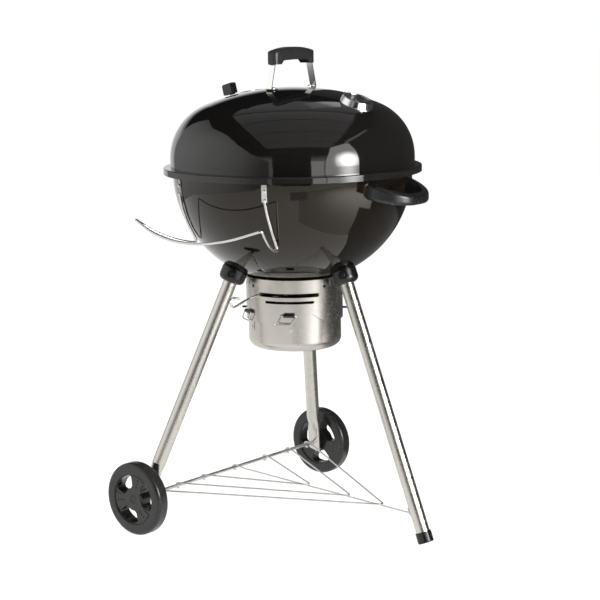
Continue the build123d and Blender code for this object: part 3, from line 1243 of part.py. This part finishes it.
# ---- the whole grill ------------------------------------------------------
def make_all():
    """Every node of the model by name, in the kettle's own frame."""
    front_ear, side_ear = EAR_AZIMUTHS
    return {
        "bowl": make_bowl(),
        "leg_sockets": make_leg_sockets(),
        "leg_caps": make_leg_caps(),
        "cap_screws": make_cap_screws(),
        "front_leg": make_front_leg(),
        "left_leg": make_wheel_leg(-REAR_LEG_AZIMUTH),
        "right_leg": make_wheel_leg(REAR_LEG_AZIMUTH),
        "foot_cap": make_foot_cap(),
        "axle": make_axle(),
        "axle_spacers": make_axle_spacers(),
        "axle_caps": make_axle_caps(),
        "left_wheel": make_wheel(LEFT_SPOKE_ANGLE, -1),
        "right_wheel": make_wheel(RIGHT_SPOKE_ANGLE, 1),
        "bottom_rack": make_bottom_rack(),
        "rack_bolt": make_rack_bolt(),
        "side_handle": make_side_handle(),
        "side_handle_screws": make_side_handle_screws(),
        "lid_holder": make_lid_holder(),
        "holder_rivets": make_holder_rivets(),
        "grate_shelves": make_grate_shelves(),
        "charcoal_grate": make_charcoal_grate(),
        "cooking_grate": make_cooking_grate(),
        "ash_skirt": make_ash_skirt(),
        "skirt_brackets": make_skirt_brackets(),
        "skirt_studs": make_skirt_studs(),
        "bail_ears": make_bail_ears(),
        "front_bail": make_bail(front_ear),
        "side_bail": make_bail(side_ear),
        "ash_can": make_ash_can(),
        "can_plates": make_can_plates(),
        "can_rivets": make_can_rivets(),
        "ash_sweeper": make_sweeper(),
        "lid_dome": make_lid_dome(),
        "lid_handle_strap": make_lid_strap(),
        "lid_grip": make_lid_grip(),
        "lid_handle_bolts": make_lid_handle_bolts(),
        "damper_disc": make_damper_disc(),
        "damper_knob": make_damper_knob(),
        "damper_rivet": make_damper_rivet(),
        "gauge_bezel": make_bezel(),
        "gauge_dial": make_dial(),
        "gauge_glass": make_gauge_glass(),
        "gauge_probe": make_probe(),
        "gauge_needle": make_needle(),
        "gauge_nut": make_gauge_nut(),
    }


def export_all():
    """Centre the whole grill's footprint on the origin and write one file per node."""
    nodes = {name: Compound(children=shape.solids()) for name, shape in make_all().items()}
    everything = Compound([solid for shape in nodes.values() for solid in shape.solids()])
    box = everything.bounding_box()
    shift = Pos(-box.center().X, -box.center().Y, 0)
    os.makedirs("parts", exist_ok=True)
    for name, shape in nodes.items():
        export_step(shift * shape, f"parts/{name}.step")


if __name__ == "__main__":
    export_all()
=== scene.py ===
import math

import bpy
from mathutils import Matrix, Vector


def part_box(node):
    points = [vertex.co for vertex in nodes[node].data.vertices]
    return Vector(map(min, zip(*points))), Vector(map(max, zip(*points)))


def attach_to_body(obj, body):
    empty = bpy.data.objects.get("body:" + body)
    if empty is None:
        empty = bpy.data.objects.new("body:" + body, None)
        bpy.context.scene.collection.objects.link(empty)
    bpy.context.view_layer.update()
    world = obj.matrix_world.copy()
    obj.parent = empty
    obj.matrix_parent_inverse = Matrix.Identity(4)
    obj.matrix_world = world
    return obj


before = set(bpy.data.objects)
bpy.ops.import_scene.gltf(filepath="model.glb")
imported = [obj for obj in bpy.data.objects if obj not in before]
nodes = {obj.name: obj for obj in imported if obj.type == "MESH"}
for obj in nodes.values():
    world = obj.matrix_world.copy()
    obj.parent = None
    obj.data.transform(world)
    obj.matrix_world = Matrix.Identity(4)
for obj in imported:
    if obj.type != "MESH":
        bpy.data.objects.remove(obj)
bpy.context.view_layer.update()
scene = bpy.context.scene

WHITE = (1, 1, 1, 1)


def middle(node):
    low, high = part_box(node)
    return (low + high) / 2


AXIS = middle("bowl")          # the kettle's axis; only x and y are used


# ---- node helpers -----------------------------------------------------------
def put(tree, socket, value):
    """Links an output to the socket, or sets the socket's own value."""
    if hasattr(value, "is_output"):
        tree.links.new(value, socket)
    else:
        socket.default_value = value


def attach(tree, kind, *values, **settings):
    """A new shader node, with its first inputs linked or set in order."""
    node = tree.nodes.new("ShaderNode" + kind)
    for key, value in settings.items():
        setattr(node, key, value)
    for socket, value in zip(node.inputs, values):
        put(tree, socket, value)
    return node


def scaled(colour, factor):
    return tuple(part * factor for part in colour)


class Graph:
    """A material's node tree, with short calls to add nodes and links."""

    def __init__(self, name, **values):
        self.material = bpy.data.materials.new(name)
        self.material.use_nodes = True
        self.tree = self.material.node_tree
        self.shader = self.tree.nodes["Principled BSDF"]
        self.use(**values)

    def add(self, kind, settings=None, **inputs):
        node = attach(self.tree, kind, **(settings or {}))
        for key, value in inputs.items():
            put(self.tree, node.inputs[key.replace("_", " ")], value)
        return node

    def math(self, operation, first, second):
        return attach(self.tree, "Math", first, second, operation=operation).outputs[0]

    def coords(self, scale=(1, 1, 1), rotation=(0, 0, 0), location=(0, 0, 0)):
        source = self.add("TexCoord").outputs["Object"]
        node = self.add("Mapping", Vector=source, Scale=scale, Rotation=rotation, Location=location)
        return node.outputs[0]

    def noise(self, vector, scale, detail=3.0, rough=0.5):
        node = self.add("TexNoise", Vector=vector, Scale=scale, Detail=detail, Roughness=rough)
        return node.outputs["Fac"]

    def span(self, value, low, high, start=0.0, end=1.0):
        """Maps start to low and end to high, and holds at both."""
        return attach(self.tree, "MapRange", value, start, end, low, high, clamp=True).outputs[0]

    def blend(self, factor, first, second):
        node = self.add("Mix", {"data_type": "RGBA"})
        put(self.tree, node.inputs[0], factor)
        for socket, colour in zip(node.inputs[6:8], (first, second)):
            put(self.tree, socket, (*colour, 1) if isinstance(colour, tuple) else colour)
        return node.outputs[2]

    def bump(self, height, strength, distance, normal=None):
        node = self.add("Bump", Height=height, Strength=strength, Distance=distance)
        if normal is not None:
            put(self.tree, node.inputs["Normal"], normal)
        return node.outputs[0]

    def use(self, **sockets):
        for key, value in sockets.items():
            put(self.tree, self.shader.inputs[key.replace("_", " ")], value)
        return self.material


# ---- materials --------------------------------------------------------------
# A noise's scale is in ripples per metre, and a bump's distance in metres.
CONVEX = (0.5, 0.58)           # pointiness of a flat and of a clear edge
MOST = (0.3, 0.7)              # where most of a noise's values lie
LINE_SHINE = (0.85, 1.15)      # share of the roughness from line to line

PEEL_SCALE, PEEL_DEPTH = 60.0, 0.0006
PIT_SCALE, PIT_DEPTH = 1400.0, 0.0001
ENAMEL_BUMP = 0.02
ENAMEL_ROUGH = (0.03, 0.06)
ENAMEL_CLOUD_SCALE, ENAMEL_CLOUD = 6.0, (0.35, 0.65)

MOULD_CLOUD_SCALE, MOULD_DEPTH = 18.0, 0.0003
MOULD_SHINE = (-0.04, 0.07)    # added to the roughness from cloud to cloud
MOULD_EDGE_HIGHLIGHT = 0.35              # how far an edge goes towards its painted highlight colour
MOULD_POLISH = 0.08            # how much smoother an edge is

DRAWN_DEPTH = 0.0002
DRAWN_PEAKS = (0.45, 0.8)
DRAWN_SMEAR_SCALE, DRAWN_SMEAR_SHINE = 22.0, (-0.03, 0.04)

BRUSH_TURN = 0.6               # stretch of the brushing round the kettle
BRUSH_RISE = 120.0             # and its closeness up it
BRUSH_SCALE, BRUSH_BUMP, BRUSH_DEPTH = 14.0, 0.04, 0.0001
BRUSH_PEAKS = (0.45, 0.75)
BRUSH_SMEAR_SCALE, BRUSH_SMEAR_SHINE = 16.0, (-0.03, 0.03)
BRUSH_ANISOTROPY = 0.75

SMUDGE_SCALE = 60.0
SPECK_SCALE, SPECK_BUMP, SPECK_DEPTH = 700.0, 0.05, 0.0001


def edges(graph):
    """0 on flats, 1 on convex edges."""
    point = graph.add("NewGeometry").outputs["Pointiness"]
    return graph.span(point, 0.0, 1.0, *CONVEX)


def line_shine(graph, rough, lines, smear, smear_shine):
    """Roughness that varies a little from line to line and from smear to smear."""
    low, high = scaled(LINE_SHINE, rough)
    return graph.math("ADD", graph.span(lines, low, high, *MOST),
                      graph.span(smear, *smear_shine, *MOST))


def enamel(name, base, tint):
    """Glass-like enamel: a clear, hard surface with a faint orange peel, and a painted highlight
    that brightens its convex edges.
    """
    g = Graph(name, IOR=1.5, Specular_Tint=(*tint, 1))
    where = g.coords()
    peel = g.noise(where, PEEL_SCALE, detail=2.0)
    pits = g.noise(where, PIT_SCALE, detail=2.0)
    cloud = g.noise(where, ENAMEL_CLOUD_SCALE, detail=4.0)
    colour = g.blend(cloud, base, scaled(base, 1.5))
    # painted highlight: convex edges are brightened towards four times the base colour
    colour = g.blend(g.math("MULTIPLY", edges(g), 0.5), colour, scaled(base, 4))
    rough = g.span(cloud, *ENAMEL_ROUGH, *ENAMEL_CLOUD)
    normal = g.bump(peel, ENAMEL_BUMP, PEEL_DEPTH)
    normal = g.bump(pits, ENAMEL_BUMP, PIT_DEPTH, normal)
    return g.use(Base_Color=colour, Roughness=rough, Normal=normal)


def plastic(name, base, rough, grain=900.0, depth=0.12, specular=0.45):
    """Moulded black plastic: a fine spark-eroded grain, smoother at its edges, where a painted
    highlight pales them.
    """
    g = Graph(name, Specular_IOR_Level=specular)
    where = g.coords()
    fine = g.noise(where, grain, rough=0.6)
    cloud = g.noise(where, MOULD_CLOUD_SCALE, detail=4.0)
    edge_highlight_and_polish = edges(g)
    colour = g.blend(cloud, base, scaled(base, 1.35))
    # painted highlight: convex edges are paled towards three times the base colour
    colour = g.blend(g.math("MULTIPLY", edge_highlight_and_polish, MOULD_EDGE_HIGHLIGHT), colour, scaled(base, 3.0))
    low, high = (rough + change for change in MOULD_SHINE)
    shine = g.math("SUBTRACT", g.span(cloud, low, high, *MOST),
                   g.math("MULTIPLY", edge_highlight_and_polish, MOULD_POLISH))
    return g.use(Base_Color=colour, Roughness=shine, Normal=g.bump(fine, depth, MOULD_DEPTH))


def metal(name, base, rough, lines, rotation=(0, 0, 0), stretch=1.0, depth=0.05):
    """Metal with drawn or brushed lines along the turned z axis, and faint handling marks."""
    g = Graph(name, Metallic=1.0)
    where = g.coords(scale=(1.0, 1.0, 1.0 / stretch), rotation=rotation)
    drawn = g.noise(where, lines, detail=4.0, rough=0.65)
    smear = g.noise(g.coords(), DRAWN_SMEAR_SCALE, detail=5.0, rough=0.6)
    colour = g.blend(smear, scaled(base, 0.93), base)
    colour = g.blend(g.span(drawn, 0.0, 0.5, *DRAWN_PEAKS), colour, scaled(base, 0.86))
    shine = line_shine(g, rough, drawn, smear, DRAWN_SMEAR_SHINE)
    return g.use(Base_Color=colour, Roughness=shine, Normal=g.bump(drawn, depth, DRAWN_DEPTH))


def brushed_round(name, base, rough):
    """Sheet steel brushed round the kettle's axis, so its highlights stretch upright."""
    g = Graph(name, Metallic=1.0, Anisotropic=BRUSH_ANISOTROPY)
    where = g.coords(location=(-AXIS.x, -AXIS.y, 0))
    parts = g.add("SeparateXYZ", Vector=where)
    angle = g.math("ARCTAN2", parts.outputs[1], parts.outputs[0])
    ring = g.add("CombineXYZ", X=g.math("MULTIPLY", angle, BRUSH_TURN), Y=0.0,
                 Z=g.math("MULTIPLY", parts.outputs[2], BRUSH_RISE))
    lines = g.noise(ring.outputs[0], BRUSH_SCALE, detail=5.0, rough=0.7)
    smear = g.noise(g.coords(), BRUSH_SMEAR_SCALE, detail=5.0, rough=0.6)
    colour = g.blend(lines, scaled(base, 0.9), base)
    colour = g.blend(g.span(smear, 0.0, 0.25, *BRUSH_PEAKS), colour, scaled(base, 0.82))
    shine = line_shine(g, rough, lines, smear, BRUSH_SMEAR_SHINE)
    tangent = g.add("Tangent", {"direction_type": "RADIAL", "axis": "Z"})
    return g.use(Base_Color=colour, Roughness=shine, Tangent=tangent.outputs[0],
                 Normal=g.bump(lines, BRUSH_BUMP, BRUSH_DEPTH))


def glass(name):
    """Clear glass with faint smudges."""
    g = Graph(name, Transmission_Weight=1.0, IOR=1.45, Base_Color=(0.97, 0.98, 0.98, 1))
    smudge = g.noise(g.coords(), SMUDGE_SCALE, detail=4.0)
    return g.use(Roughness=g.span(smudge, 0.0, 0.05, 0.4, 0.8))


def painted(name, base, rough):
    """Printed or sprayed paint with a fine speck."""
    g = Graph(name, Specular_IOR_Level=0.4)
    speck = g.noise(g.coords(), SPECK_SCALE)
    colour = g.blend(speck, base, scaled(base, 0.85))
    return g.use(Base_Color=colour, Roughness=g.span(speck, rough - 0.05, rough + 0.08),
                 Normal=g.bump(speck, SPECK_BUMP, SPECK_DEPTH))


def leg_turn(node):
    """Mapping rotation that lays a leg's own length on z."""
    low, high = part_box(node)
    foot = middle(node)
    side = Vector((foot.x - AXIS.x, foot.y - AXIS.y, 0)).normalized()
    spread = abs((high - low).dot(Vector((abs(side.x), abs(side.y), 0))))
    run = side * spread + Vector((0, 0, low.z - high.z))
    turn = run.rotation_difference(Vector((0, 0, -1)))
    return tuple(turn.to_euler())


BLACK = (0.0046, 0.0042, 0.0039)
STEEL = (0.55, 0.53, 0.485)

ENAMEL = enamel("enamel", BLACK, tint=(1.0, 0.99, 0.97))
# the bowl: the lid's black enamel with a dimmer, warmer reflection tint, painted shade for the
# shadowed floor it mirrors
SHADED_WARM_ENAMEL = enamel("shaded_warm_enamel", (0.004, 0.003, 0.0022), tint=(0.82, 0.76, 0.68))
PLASTIC = plastic("black_plastic", (0.006, 0.006, 0.0062), rough=0.3)
CAP = plastic("cap_plastic", (0.004, 0.0038, 0.0036), rough=0.24, grain=500.0, depth=0.05,
              specular=0.4)
GRIP = plastic("grip_plastic", (0.0115, 0.0115, 0.012), rough=0.42, specular=0.38)
WHEEL = plastic("wheel_plastic", (0.012, 0.0112, 0.0102), rough=0.29, grain=500.0, depth=0.07,
                specular=0.46)
DARK_SCREW = metal("blackened_screw", (0.05, 0.05, 0.052), rough=0.35, lines=300.0)
ZINC = metal("zinc_plate", (0.7, 0.69, 0.66), rough=0.3, lines=300.0)
WIRE = metal("plated_wire", (0.6, 0.59, 0.57), rough=0.25, lines=400.0)
RACK = metal("rack_wire", (0.78, 0.77, 0.74), rough=0.48, lines=400.0)
GRATE = metal("grate_wire", (0.35, 0.34, 0.32), rough=0.4, lines=300.0)
STRAP = metal("strap_steel", (0.78, 0.77, 0.75), rough=0.2, lines=700.0, stretch=60.0)
AXLE = metal("axle_steel", (0.6, 0.59, 0.57), rough=0.4, lines=500.0,
             rotation=(math.pi / 2, 0, 0), stretch=40.0)
BRUSHED = brushed_round("brushed_steel", (0.52, 0.495, 0.455), rough=0.25)
CASE = metal("gauge_case", (0.78, 0.77, 0.76), rough=0.16, lines=400.0)
DIAL = painted("dial_black", (0.012, 0.012, 0.013), rough=0.5)
MARKS = painted("dial_marks", (0.75, 0.75, 0.73), rough=0.5)
NEEDLE = painted("needle", (0.7, 0.68, 0.62), rough=0.4)
GLASS = glass("gauge_glass")

LOOKS = {
    "bowl": SHADED_WARM_ENAMEL, "lid_dome": ENAMEL, "leg_sockets": ENAMEL, "grate_shelves": ENAMEL,
    "leg_caps": CAP, "foot_cap": CAP, "side_handle": PLASTIC, "lid_grip": GRIP,
    "damper_knob": PLASTIC, "axle_spacers": PLASTIC,
    "left_wheel": WHEEL, "right_wheel": WHEEL, "axle_caps": WHEEL,
    "cap_screws": DARK_SCREW, "rack_bolt": ZINC, "side_handle_screws": ZINC, "holder_rivets": ZINC,
    "can_rivets": ZINC, "lid_handle_bolts": ZINC, "damper_rivet": ZINC, "gauge_nut": ZINC,
    "skirt_studs": DARK_SCREW, "bail_ears": DARK_SCREW, "gauge_probe": ZINC,
    "bottom_rack": RACK, "lid_holder": WIRE, "cooking_grate": WIRE, "front_bail": WIRE,
    "side_bail": WIRE, "charcoal_grate": GRATE, "ash_sweeper": WIRE,
    "axle": AXLE, "ash_skirt": BRUSHED, "ash_can": BRUSHED, "can_plates": BRUSHED,
    "skirt_brackets": BRUSHED, "lid_handle_strap": STRAP, "damper_disc": STRAP,
    "gauge_bezel": CASE, "gauge_dial": DIAL, "gauge_glass": GLASS, "gauge_needle": NEEDLE,
}
for leg in ("front_leg", "left_leg", "right_leg"):
    LOOKS[leg] = metal(leg + "_steel", STEEL, rough=0.26, lines=900.0,
                       rotation=leg_turn(leg), stretch=150.0, depth=0.03)

for name, node in nodes.items():
    node.data.materials.clear()
    node.data.materials.append(LOOKS[name])


# ---- the dial's scale ---------------------------------------------------------
DIAL_CENTRE = Vector((0.138939, 0.00456, 0.972569))
DIAL_AXIS = Vector((0.35018797, 0, 0.93667945))
SCALE_SWEEP = 270              # degrees, the needle's whole swing
TICK_STEP = 10                 # degrees
LONG_STEP = 30                 # degrees between long ticks
TICK_REACH = 0.0265            # outer end of every tick
TICK_FOOT = {True: 0.0218, False: 0.0242}     # inner end of a long and of a short tick
TICK_HALF = {True: 0.0006, False: 0.0003}     # half their widths
TICK_RISE = (0.00005, 0.00015)                # over the dial's face
BLOCK_FACES = ((3, 2, 1, 0), (4, 5, 6, 7), (0, 1, 5, 4), (1, 2, 6, 5), (2, 3, 7, 6), (3, 0, 4, 7))


def from_dial(name):
    """A CAD node's points, from the dial's centre."""
    node = nodes[name]
    return [node.matrix_world @ vertex.co - DIAL_CENTRE for vertex in node.data.vertices]


def add_object(name, corners, faces, material):
    mesh = bpy.data.meshes.new(name)
    mesh.from_pydata(corners, [], faces)
    mesh.materials.append(material)
    piece = bpy.data.objects.new(name, mesh)
    scene.collection.objects.link(piece)
    return piece


def make_dial_scale():
    """Plain ticks printed round the dial, from the needle's rest through its whole swing."""
    flat = [point - DIAL_AXIS * DIAL_AXIS.dot(point) for point in from_dial("gauge_needle")]
    rest = max(flat, key=lambda offset: offset.length).normalized()
    face = max(DIAL_AXIS.dot(point) for point in from_dial("gauge_dial"))
    corners, faces = [], []
    for turn in range(0, SCALE_SWEEP + 1, TICK_STEP):
        long = turn % LONG_STEP == 0
        foot, half = TICK_FOOT[long], TICK_HALF[long]
        spoke = Matrix.Rotation(-math.radians(turn), 3, DIAL_AXIS) @ rest
        side = DIAL_AXIS.cross(spoke) * half
        start = len(corners)
        for rise in TICK_RISE:
            lift = DIAL_CENTRE + DIAL_AXIS * (face + rise)
            for reach, sign in ((foot, -1), (TICK_REACH, -1), (TICK_REACH, 1), (foot, 1)):
                corners.append(lift + spoke * reach + side * sign)
        for ring in BLOCK_FACES:
            faces.append([start + corner for corner in ring])
    piece = add_object("dial_scale", corners, faces, MARKS)
    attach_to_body(piece, "lid")


make_dial_scale()


# ---- floor and backdrop -------------------------------------------------------
FLOOR_HALF = 40.0
FLOOR_COLOUR, FLOOR_ROUGH = (0.8, 0.79, 0.77, 1), 0.9
FLOOR_SHADOW = (0.35, 0.35, 0.35, 1)          # catches the shadow where the floor is seen
FLOOR_WHITE = 0.9                             # the floor's own white where it is seen
CEILING = (0.006, 0.006, 0.007, 1)
BACKDROP_TOP = (0.16, 0.3)                    # where the backdrop gives way to the ceiling
AMBIENT = 0.3


def background_rays(tree):
    """1 for rays that show the background: straight to the camera, or by metal or glass."""
    path = attach(tree, "LightPath")
    total = path.outputs["Is Camera Ray"]
    for key in ("Is Glossy Ray", "Is Transmission Ray"):
        total = attach(tree, "Math", total, path.outputs[key], operation="MAXIMUM").outputs[0]
    return total


def stage_mesh(name, corners, material):
    piece = add_object(name, corners, [tuple(range(len(corners)))], material)
    return piece


def make_floor():
    """White ground: its own white shows to the camera and in metal, and it keeps the shadow."""
    material = bpy.data.materials.new("floor")
    material.use_nodes = True
    tree = material.node_tree
    shader = tree.nodes["Principled BSDF"]
    shader.inputs["Base Color"].default_value = FLOOR_COLOUR
    shader.inputs["Roughness"].default_value = FLOOR_ROUGH
    shadow = attach(tree, "BsdfDiffuse", FLOOR_SHADOW)
    white = attach(tree, "Emission", WHITE, FLOOR_WHITE)
    both = attach(tree, "AddShader", shadow.outputs[0], white.outputs[0])
    pick = attach(tree, "MixShader", background_rays(tree), shader.outputs[0], both.outputs[0])
    put(tree, tree.nodes["Material Output"].inputs[0], pick.outputs[0])
    signs = ((-1, -1), (1, -1), (1, 1), (-1, 1))
    stage_mesh("floor", [(FLOOR_HALF * x, FLOOR_HALF * y, 0) for x, y in signs], material)


def make_world():
    """A white backdrop near the horizon under a dark studio ceiling, and a plain ambient light."""
    world = bpy.data.worlds.new("studio")
    scene.world = world
    world.use_nodes = True
    tree = world.node_tree
    tree.nodes.clear()
    coords = attach(tree, "TexCoord")
    split = attach(tree, "SeparateXYZ", coords.outputs["Generated"])
    ramp = attach(tree, "MapRange", split.outputs[2], *BACKDROP_TOP, 0.0, 1.0)
    backdrop = attach(tree, "Background", WHITE)
    ceiling = attach(tree, "Background", CEILING)
    seen = attach(tree, "MixShader", ramp.outputs[0], backdrop.outputs[0], ceiling.outputs[0])
    ambient = attach(tree, "Background", WHITE, AMBIENT)
    pick = attach(tree, "MixShader", background_rays(tree), ambient.outputs[0], seen.outputs[0])
    attach(tree, "OutputWorld", pick.outputs[0])


# ---- studio that the enamel and the metal mirror --------------------------------
# Walls are posts of (azimuth in degrees, reach from the kettle's axis, top), floor sheets are
# corners of (azimuth, reach), panes are corners of (azimuth, height), roof sheets of (x, y).
# A light's centre is (azimuth, reach, height).
WALL = ((-71.0, 4.6, 1.34), (-79.0, 3.8, 1.66), (-88.0, 3.4, 2.0), (-99.8, 3.0, 2.46),
        (-130.0, 2.8, 3.45), (-160.0, 3.0, 3.5), (-186.0, 3.0, 3.2), (-191.0, 3.0, 2.0))
WALL_LIGHT, WALL_HOT = 0.3, 1.35
WALL_CENTRE, WALL_SPREAD = (-130, 2.8, 1.5), 4.0
REAR_FLAG = ((-67.5, 4.9, 2.2), (-50.0, 4.5, 2.2), (-33.0, 4.6, 2.2))
DARK_SIDE = ((10.0, 2.75, 2.6), (40.0, 2.2, 2.6), (70.0, 2.1, 2.6), (100.0, 2.3, 2.4),
             (126.0, 2.8, 2.4))
DARK_SIDE_LIGHT = 0.05

DARK_FLOOR = ((17, 0.75), (17, 1.5), (31, 1.5), (31, 9.0), (60, 9.0), (105, 9.0), (140, 9.0),
              (140, 0.8), (105, 0.45), (70, 0.33), (45, 0.4), (30, 0.55))
DARK_FLOOR_HEIGHT, DARK_FLOOR_LIGHT = 0.004, 0.2
LIT_FLOOR = ((31, 0.75), (31, 3.4), (-10, 4.0), (-45, 3.0), (-45, 0.9))
LIT_FLOOR_HEIGHT, LIT_FLOOR_LIGHT, LIT_FLOOR_HOT = 0.003, 0.9, 3.4
LIT_FLOOR_CENTRE, LIT_FLOOR_SPREAD = (10, 2.4, 0), 2.0
CAMERA_SHADE = ((-52, 1.9), (-52, 2.9), (-37, 2.9), (-37, 1.9))
CAMERA_SHADE_HEIGHT, CAMERA_SHADE_LIGHT = 0.0045, 0.5

SMALL_PANE = ((-33.8, 0.45), (-22.6, 0.45), (-22.6, 1.12), (-33.8, 1.14))
SMALL_PANE_REACH, SMALL_PANE_LIGHT = 2.7, 3.0
LARGE_PANE = ((-21.6, 0.45), (10.6, 0.45), (10.4, 1.65), (8.5, 2.3), (5.5, 2.5), (-14.0, 2.22),
              (-21.2, 1.1))
LARGE_PANE_REACH, LARGE_PANE_LIGHT = 2.6, 3.6
LAMP_LIGHT, LAMP_CENTRE, LAMP_SPREAD = 38.0, (0, 2.6, 1.1), 0.8

ROOF = 3.15                    # height of the studio's rooflight
ROOF_CORNERS = ((-1.74, 0.15), (1.03, -3.97), (4.14, -0.93), (0.07, 1.87))
ROOF_BAYS, BAY_ENDS = 4, (0.02, 0.98)
ROOF_LIGHT = 0.42
ROOF_FAR = ((-1.8, 0.2), (-2.2, 1.56), (-1.5, 2.3), (-1.05, 2.5), (0.02, 1.96))
ROOF_FAR_LIGHT = 0.28
FAR_GAP = ((-1.45, 1.93), (-1.67, 3.07), (-1.29, 2.66), (-1.15, 1.8))
SIDE_GAP = ((3.55, 0.45), (1.76, 1.94), (1.7, 1.84), (3.2, 0.3))
GAP_LIGHT = 1.2


def studio_point(azimuth, reach, height):
    angle = math.radians(azimuth)
    return Vector((AXIS.x + reach * math.cos(angle), AXIS.y + reach * math.sin(angle), height))


def glow(name, strength, hot=None, centre=None, spread=None):
    """A lamp face or a dark flag. With hot, it fades from hot at its centre over the spread."""
    material = bpy.data.materials.new(name)
    material.use_nodes = True
    tree = material.node_tree
    tree.nodes.clear()
    face = attach(tree, "Emission", WHITE, strength)
    if hot:
        coords = attach(tree, "TexCoord")
        away = attach(tree, "VectorMath", coords.outputs["Object"], studio_point(*centre),
                      operation="DISTANCE")
        fade = attach(tree, "MapRange", away.outputs["Value"], 0.0, spread, hot, strength,
                      interpolation_type="SMOOTHERSTEP")
        put(tree, face.inputs[1], fade.outputs[0])
    attach(tree, "OutputMaterial", face.outputs[0])
    return material


def panel(name, corners, material, lights=True):
    """A sheet of the studio that the camera never sees; with lights, dull surfaces feel it."""
    piece = stage_mesh(name, corners, material)
    piece.visible_camera = False
    piece.visible_shadow = False
    piece.visible_diffuse = lights


def curtain(name, posts, material, lights):
    """Upright sheets from post to post."""
    for index, (one, two) in enumerate(zip(posts, posts[1:])):
        corners = [studio_point(*one[:2], 0), studio_point(*two[:2], 0), studio_point(*two),
                   studio_point(*one)]
        panel("%s_%d" % (name, index), corners, material, lights)


def rug(name, ring, height, material):
    """A flat sheet just above the floor."""
    panel(name, [studio_point(turn, reach, height) for turn, reach in ring], material, False)


def pane(name, ring, reach, material):
    """An upright lamp face at one reach from the kettle."""
    panel(name, [studio_point(turn, reach, height) for turn, height in ring], material)


def skylight(name, ring, material):
    panel(name, [(x, y, ROOF) for x, y in ring], material, False)


def make_studio():
    black = glow("black_flag", 0.0)
    dim_flag = glow("dim_flag", DARK_SIDE_LIGHT)
    # pale wall on the left: its top falls towards the camera, its light fades from its middle
    fading = glow("wall_light", WALL_LIGHT, WALL_HOT, WALL_CENTRE, WALL_SPREAD)
    curtain("wall", WALL, fading, True)
    # a black flag behind the camera, and dim ones round the right-hand side
    curtain("flag", REAR_FLAG, black, False)
    curtain("dark_side", DARK_SIDE, dim_flag, False)
    # dark, lit and shaded stretches of the floor
    rug("dark_floor", DARK_FLOOR, DARK_FLOOR_HEIGHT, glow("dark_floor_light", DARK_FLOOR_LIGHT))
    lit = glow("lit_floor_light", LIT_FLOOR_LIGHT, LIT_FLOOR_HOT, LIT_FLOOR_CENTRE,
               LIT_FLOOR_SPREAD)
    rug("lit_floor", LIT_FLOOR, LIT_FLOOR_HEIGHT, lit)
    shade = glow("camera_shade_light", CAMERA_SHADE_LIGHT)
    rug("camera_shade", CAMERA_SHADE, CAMERA_SHADE_HEIGHT, shade)
    # softbox in two panes right of the camera, with its lamp glaring through one
    pane("small_pane", SMALL_PANE, SMALL_PANE_REACH, glow("small_pane_light", SMALL_PANE_LIGHT))
    lamp = glow("large_pane_light", LARGE_PANE_LIGHT, LAMP_LIGHT, LAMP_CENTRE, LAMP_SPREAD)
    pane("large_pane", LARGE_PANE, LARGE_PANE_REACH, lamp)
    # dim rooflight in bays, and two gaps of light beside it
    near, left, right, far = (Vector(place) for place in ROOF_CORNERS)
    dim = glow("roof_light", ROOF_LIGHT)
    for bay in range(ROOF_BAYS):
        start, end = ((bay + edge) / ROOF_BAYS for edge in BAY_ENDS)
        skylight("roof_%d" % bay, [near.lerp(left, start), near.lerp(left, end),
                                   far.lerp(right, end), far.lerp(right, start)], dim)
    skylight("roof_far", ROOF_FAR, glow("roof_far_light", ROOF_FAR_LIGHT))
    gap = glow("gap_light", GAP_LIGHT)
    skylight("far_gap", FAR_GAP, gap)
    skylight("side_gap", SIDE_GAP, gap)


# ---- camera and top light -------------------------------------------------------
CAMERA_OFFSET = Vector((2.543, -3.028, 1.1975))     # from the kettle's axis at the ground
CAMERA_TURN = 0.6954           # radians, like its pitch and roll
CAMERA_PITCH = 0.1708
CAMERA_ROLL = -0.0143
CAMERA_LENS = 103.94           # mm, like the sensor
SENSOR = 36.0
CLIP_END = 100.0
KETTLE = Vector((AXIS.x, AXIS.y, 0.85))             # middle of the lid
TOP_OFFSET = Vector((0.2, -0.4, 2.4))               # from there to the top light
TOP_SIZE, TOP_POWER = (2.0, 2.0), 30


def make_camera():
    data = bpy.data.cameras.new("camera")
    data.sensor_width = SENSOR
    data.lens = CAMERA_LENS
    data.clip_end = CLIP_END
    camera = bpy.data.objects.new("camera", data)
    turn = (Matrix.Rotation(CAMERA_TURN, 4, "Z")
            @ Matrix.Rotation(math.pi / 2 - CAMERA_PITCH, 4, "X")
            @ Matrix.Rotation(CAMERA_ROLL, 4, "Z"))
    camera.matrix_world = Matrix.Translation(CAMERA_OFFSET + Vector((AXIS.x, AXIS.y, 0))) @ turn
    scene.collection.objects.link(camera)
    scene.camera = camera


def area_light(name, place, target, size, power):
    data = bpy.data.lights.new(name, "AREA")
    data.shape = "RECTANGLE"
    data.size, data.size_y = size
    data.energy = power
    light = bpy.data.objects.new(name, data)
    light.location = Vector(place)
    light.rotation_euler = (Vector(target) - light.location).to_track_quat("-Z", "Y").to_euler()
    light.visible_camera = False
    light.visible_glossy = False
    scene.collection.objects.link(light)


make_floor()
make_world()
make_studio()
make_camera()
area_light("top", KETTLE + TOP_OFFSET, KETTLE, TOP_SIZE, TOP_POWER)

scene.view_settings.view_transform = "Standard"
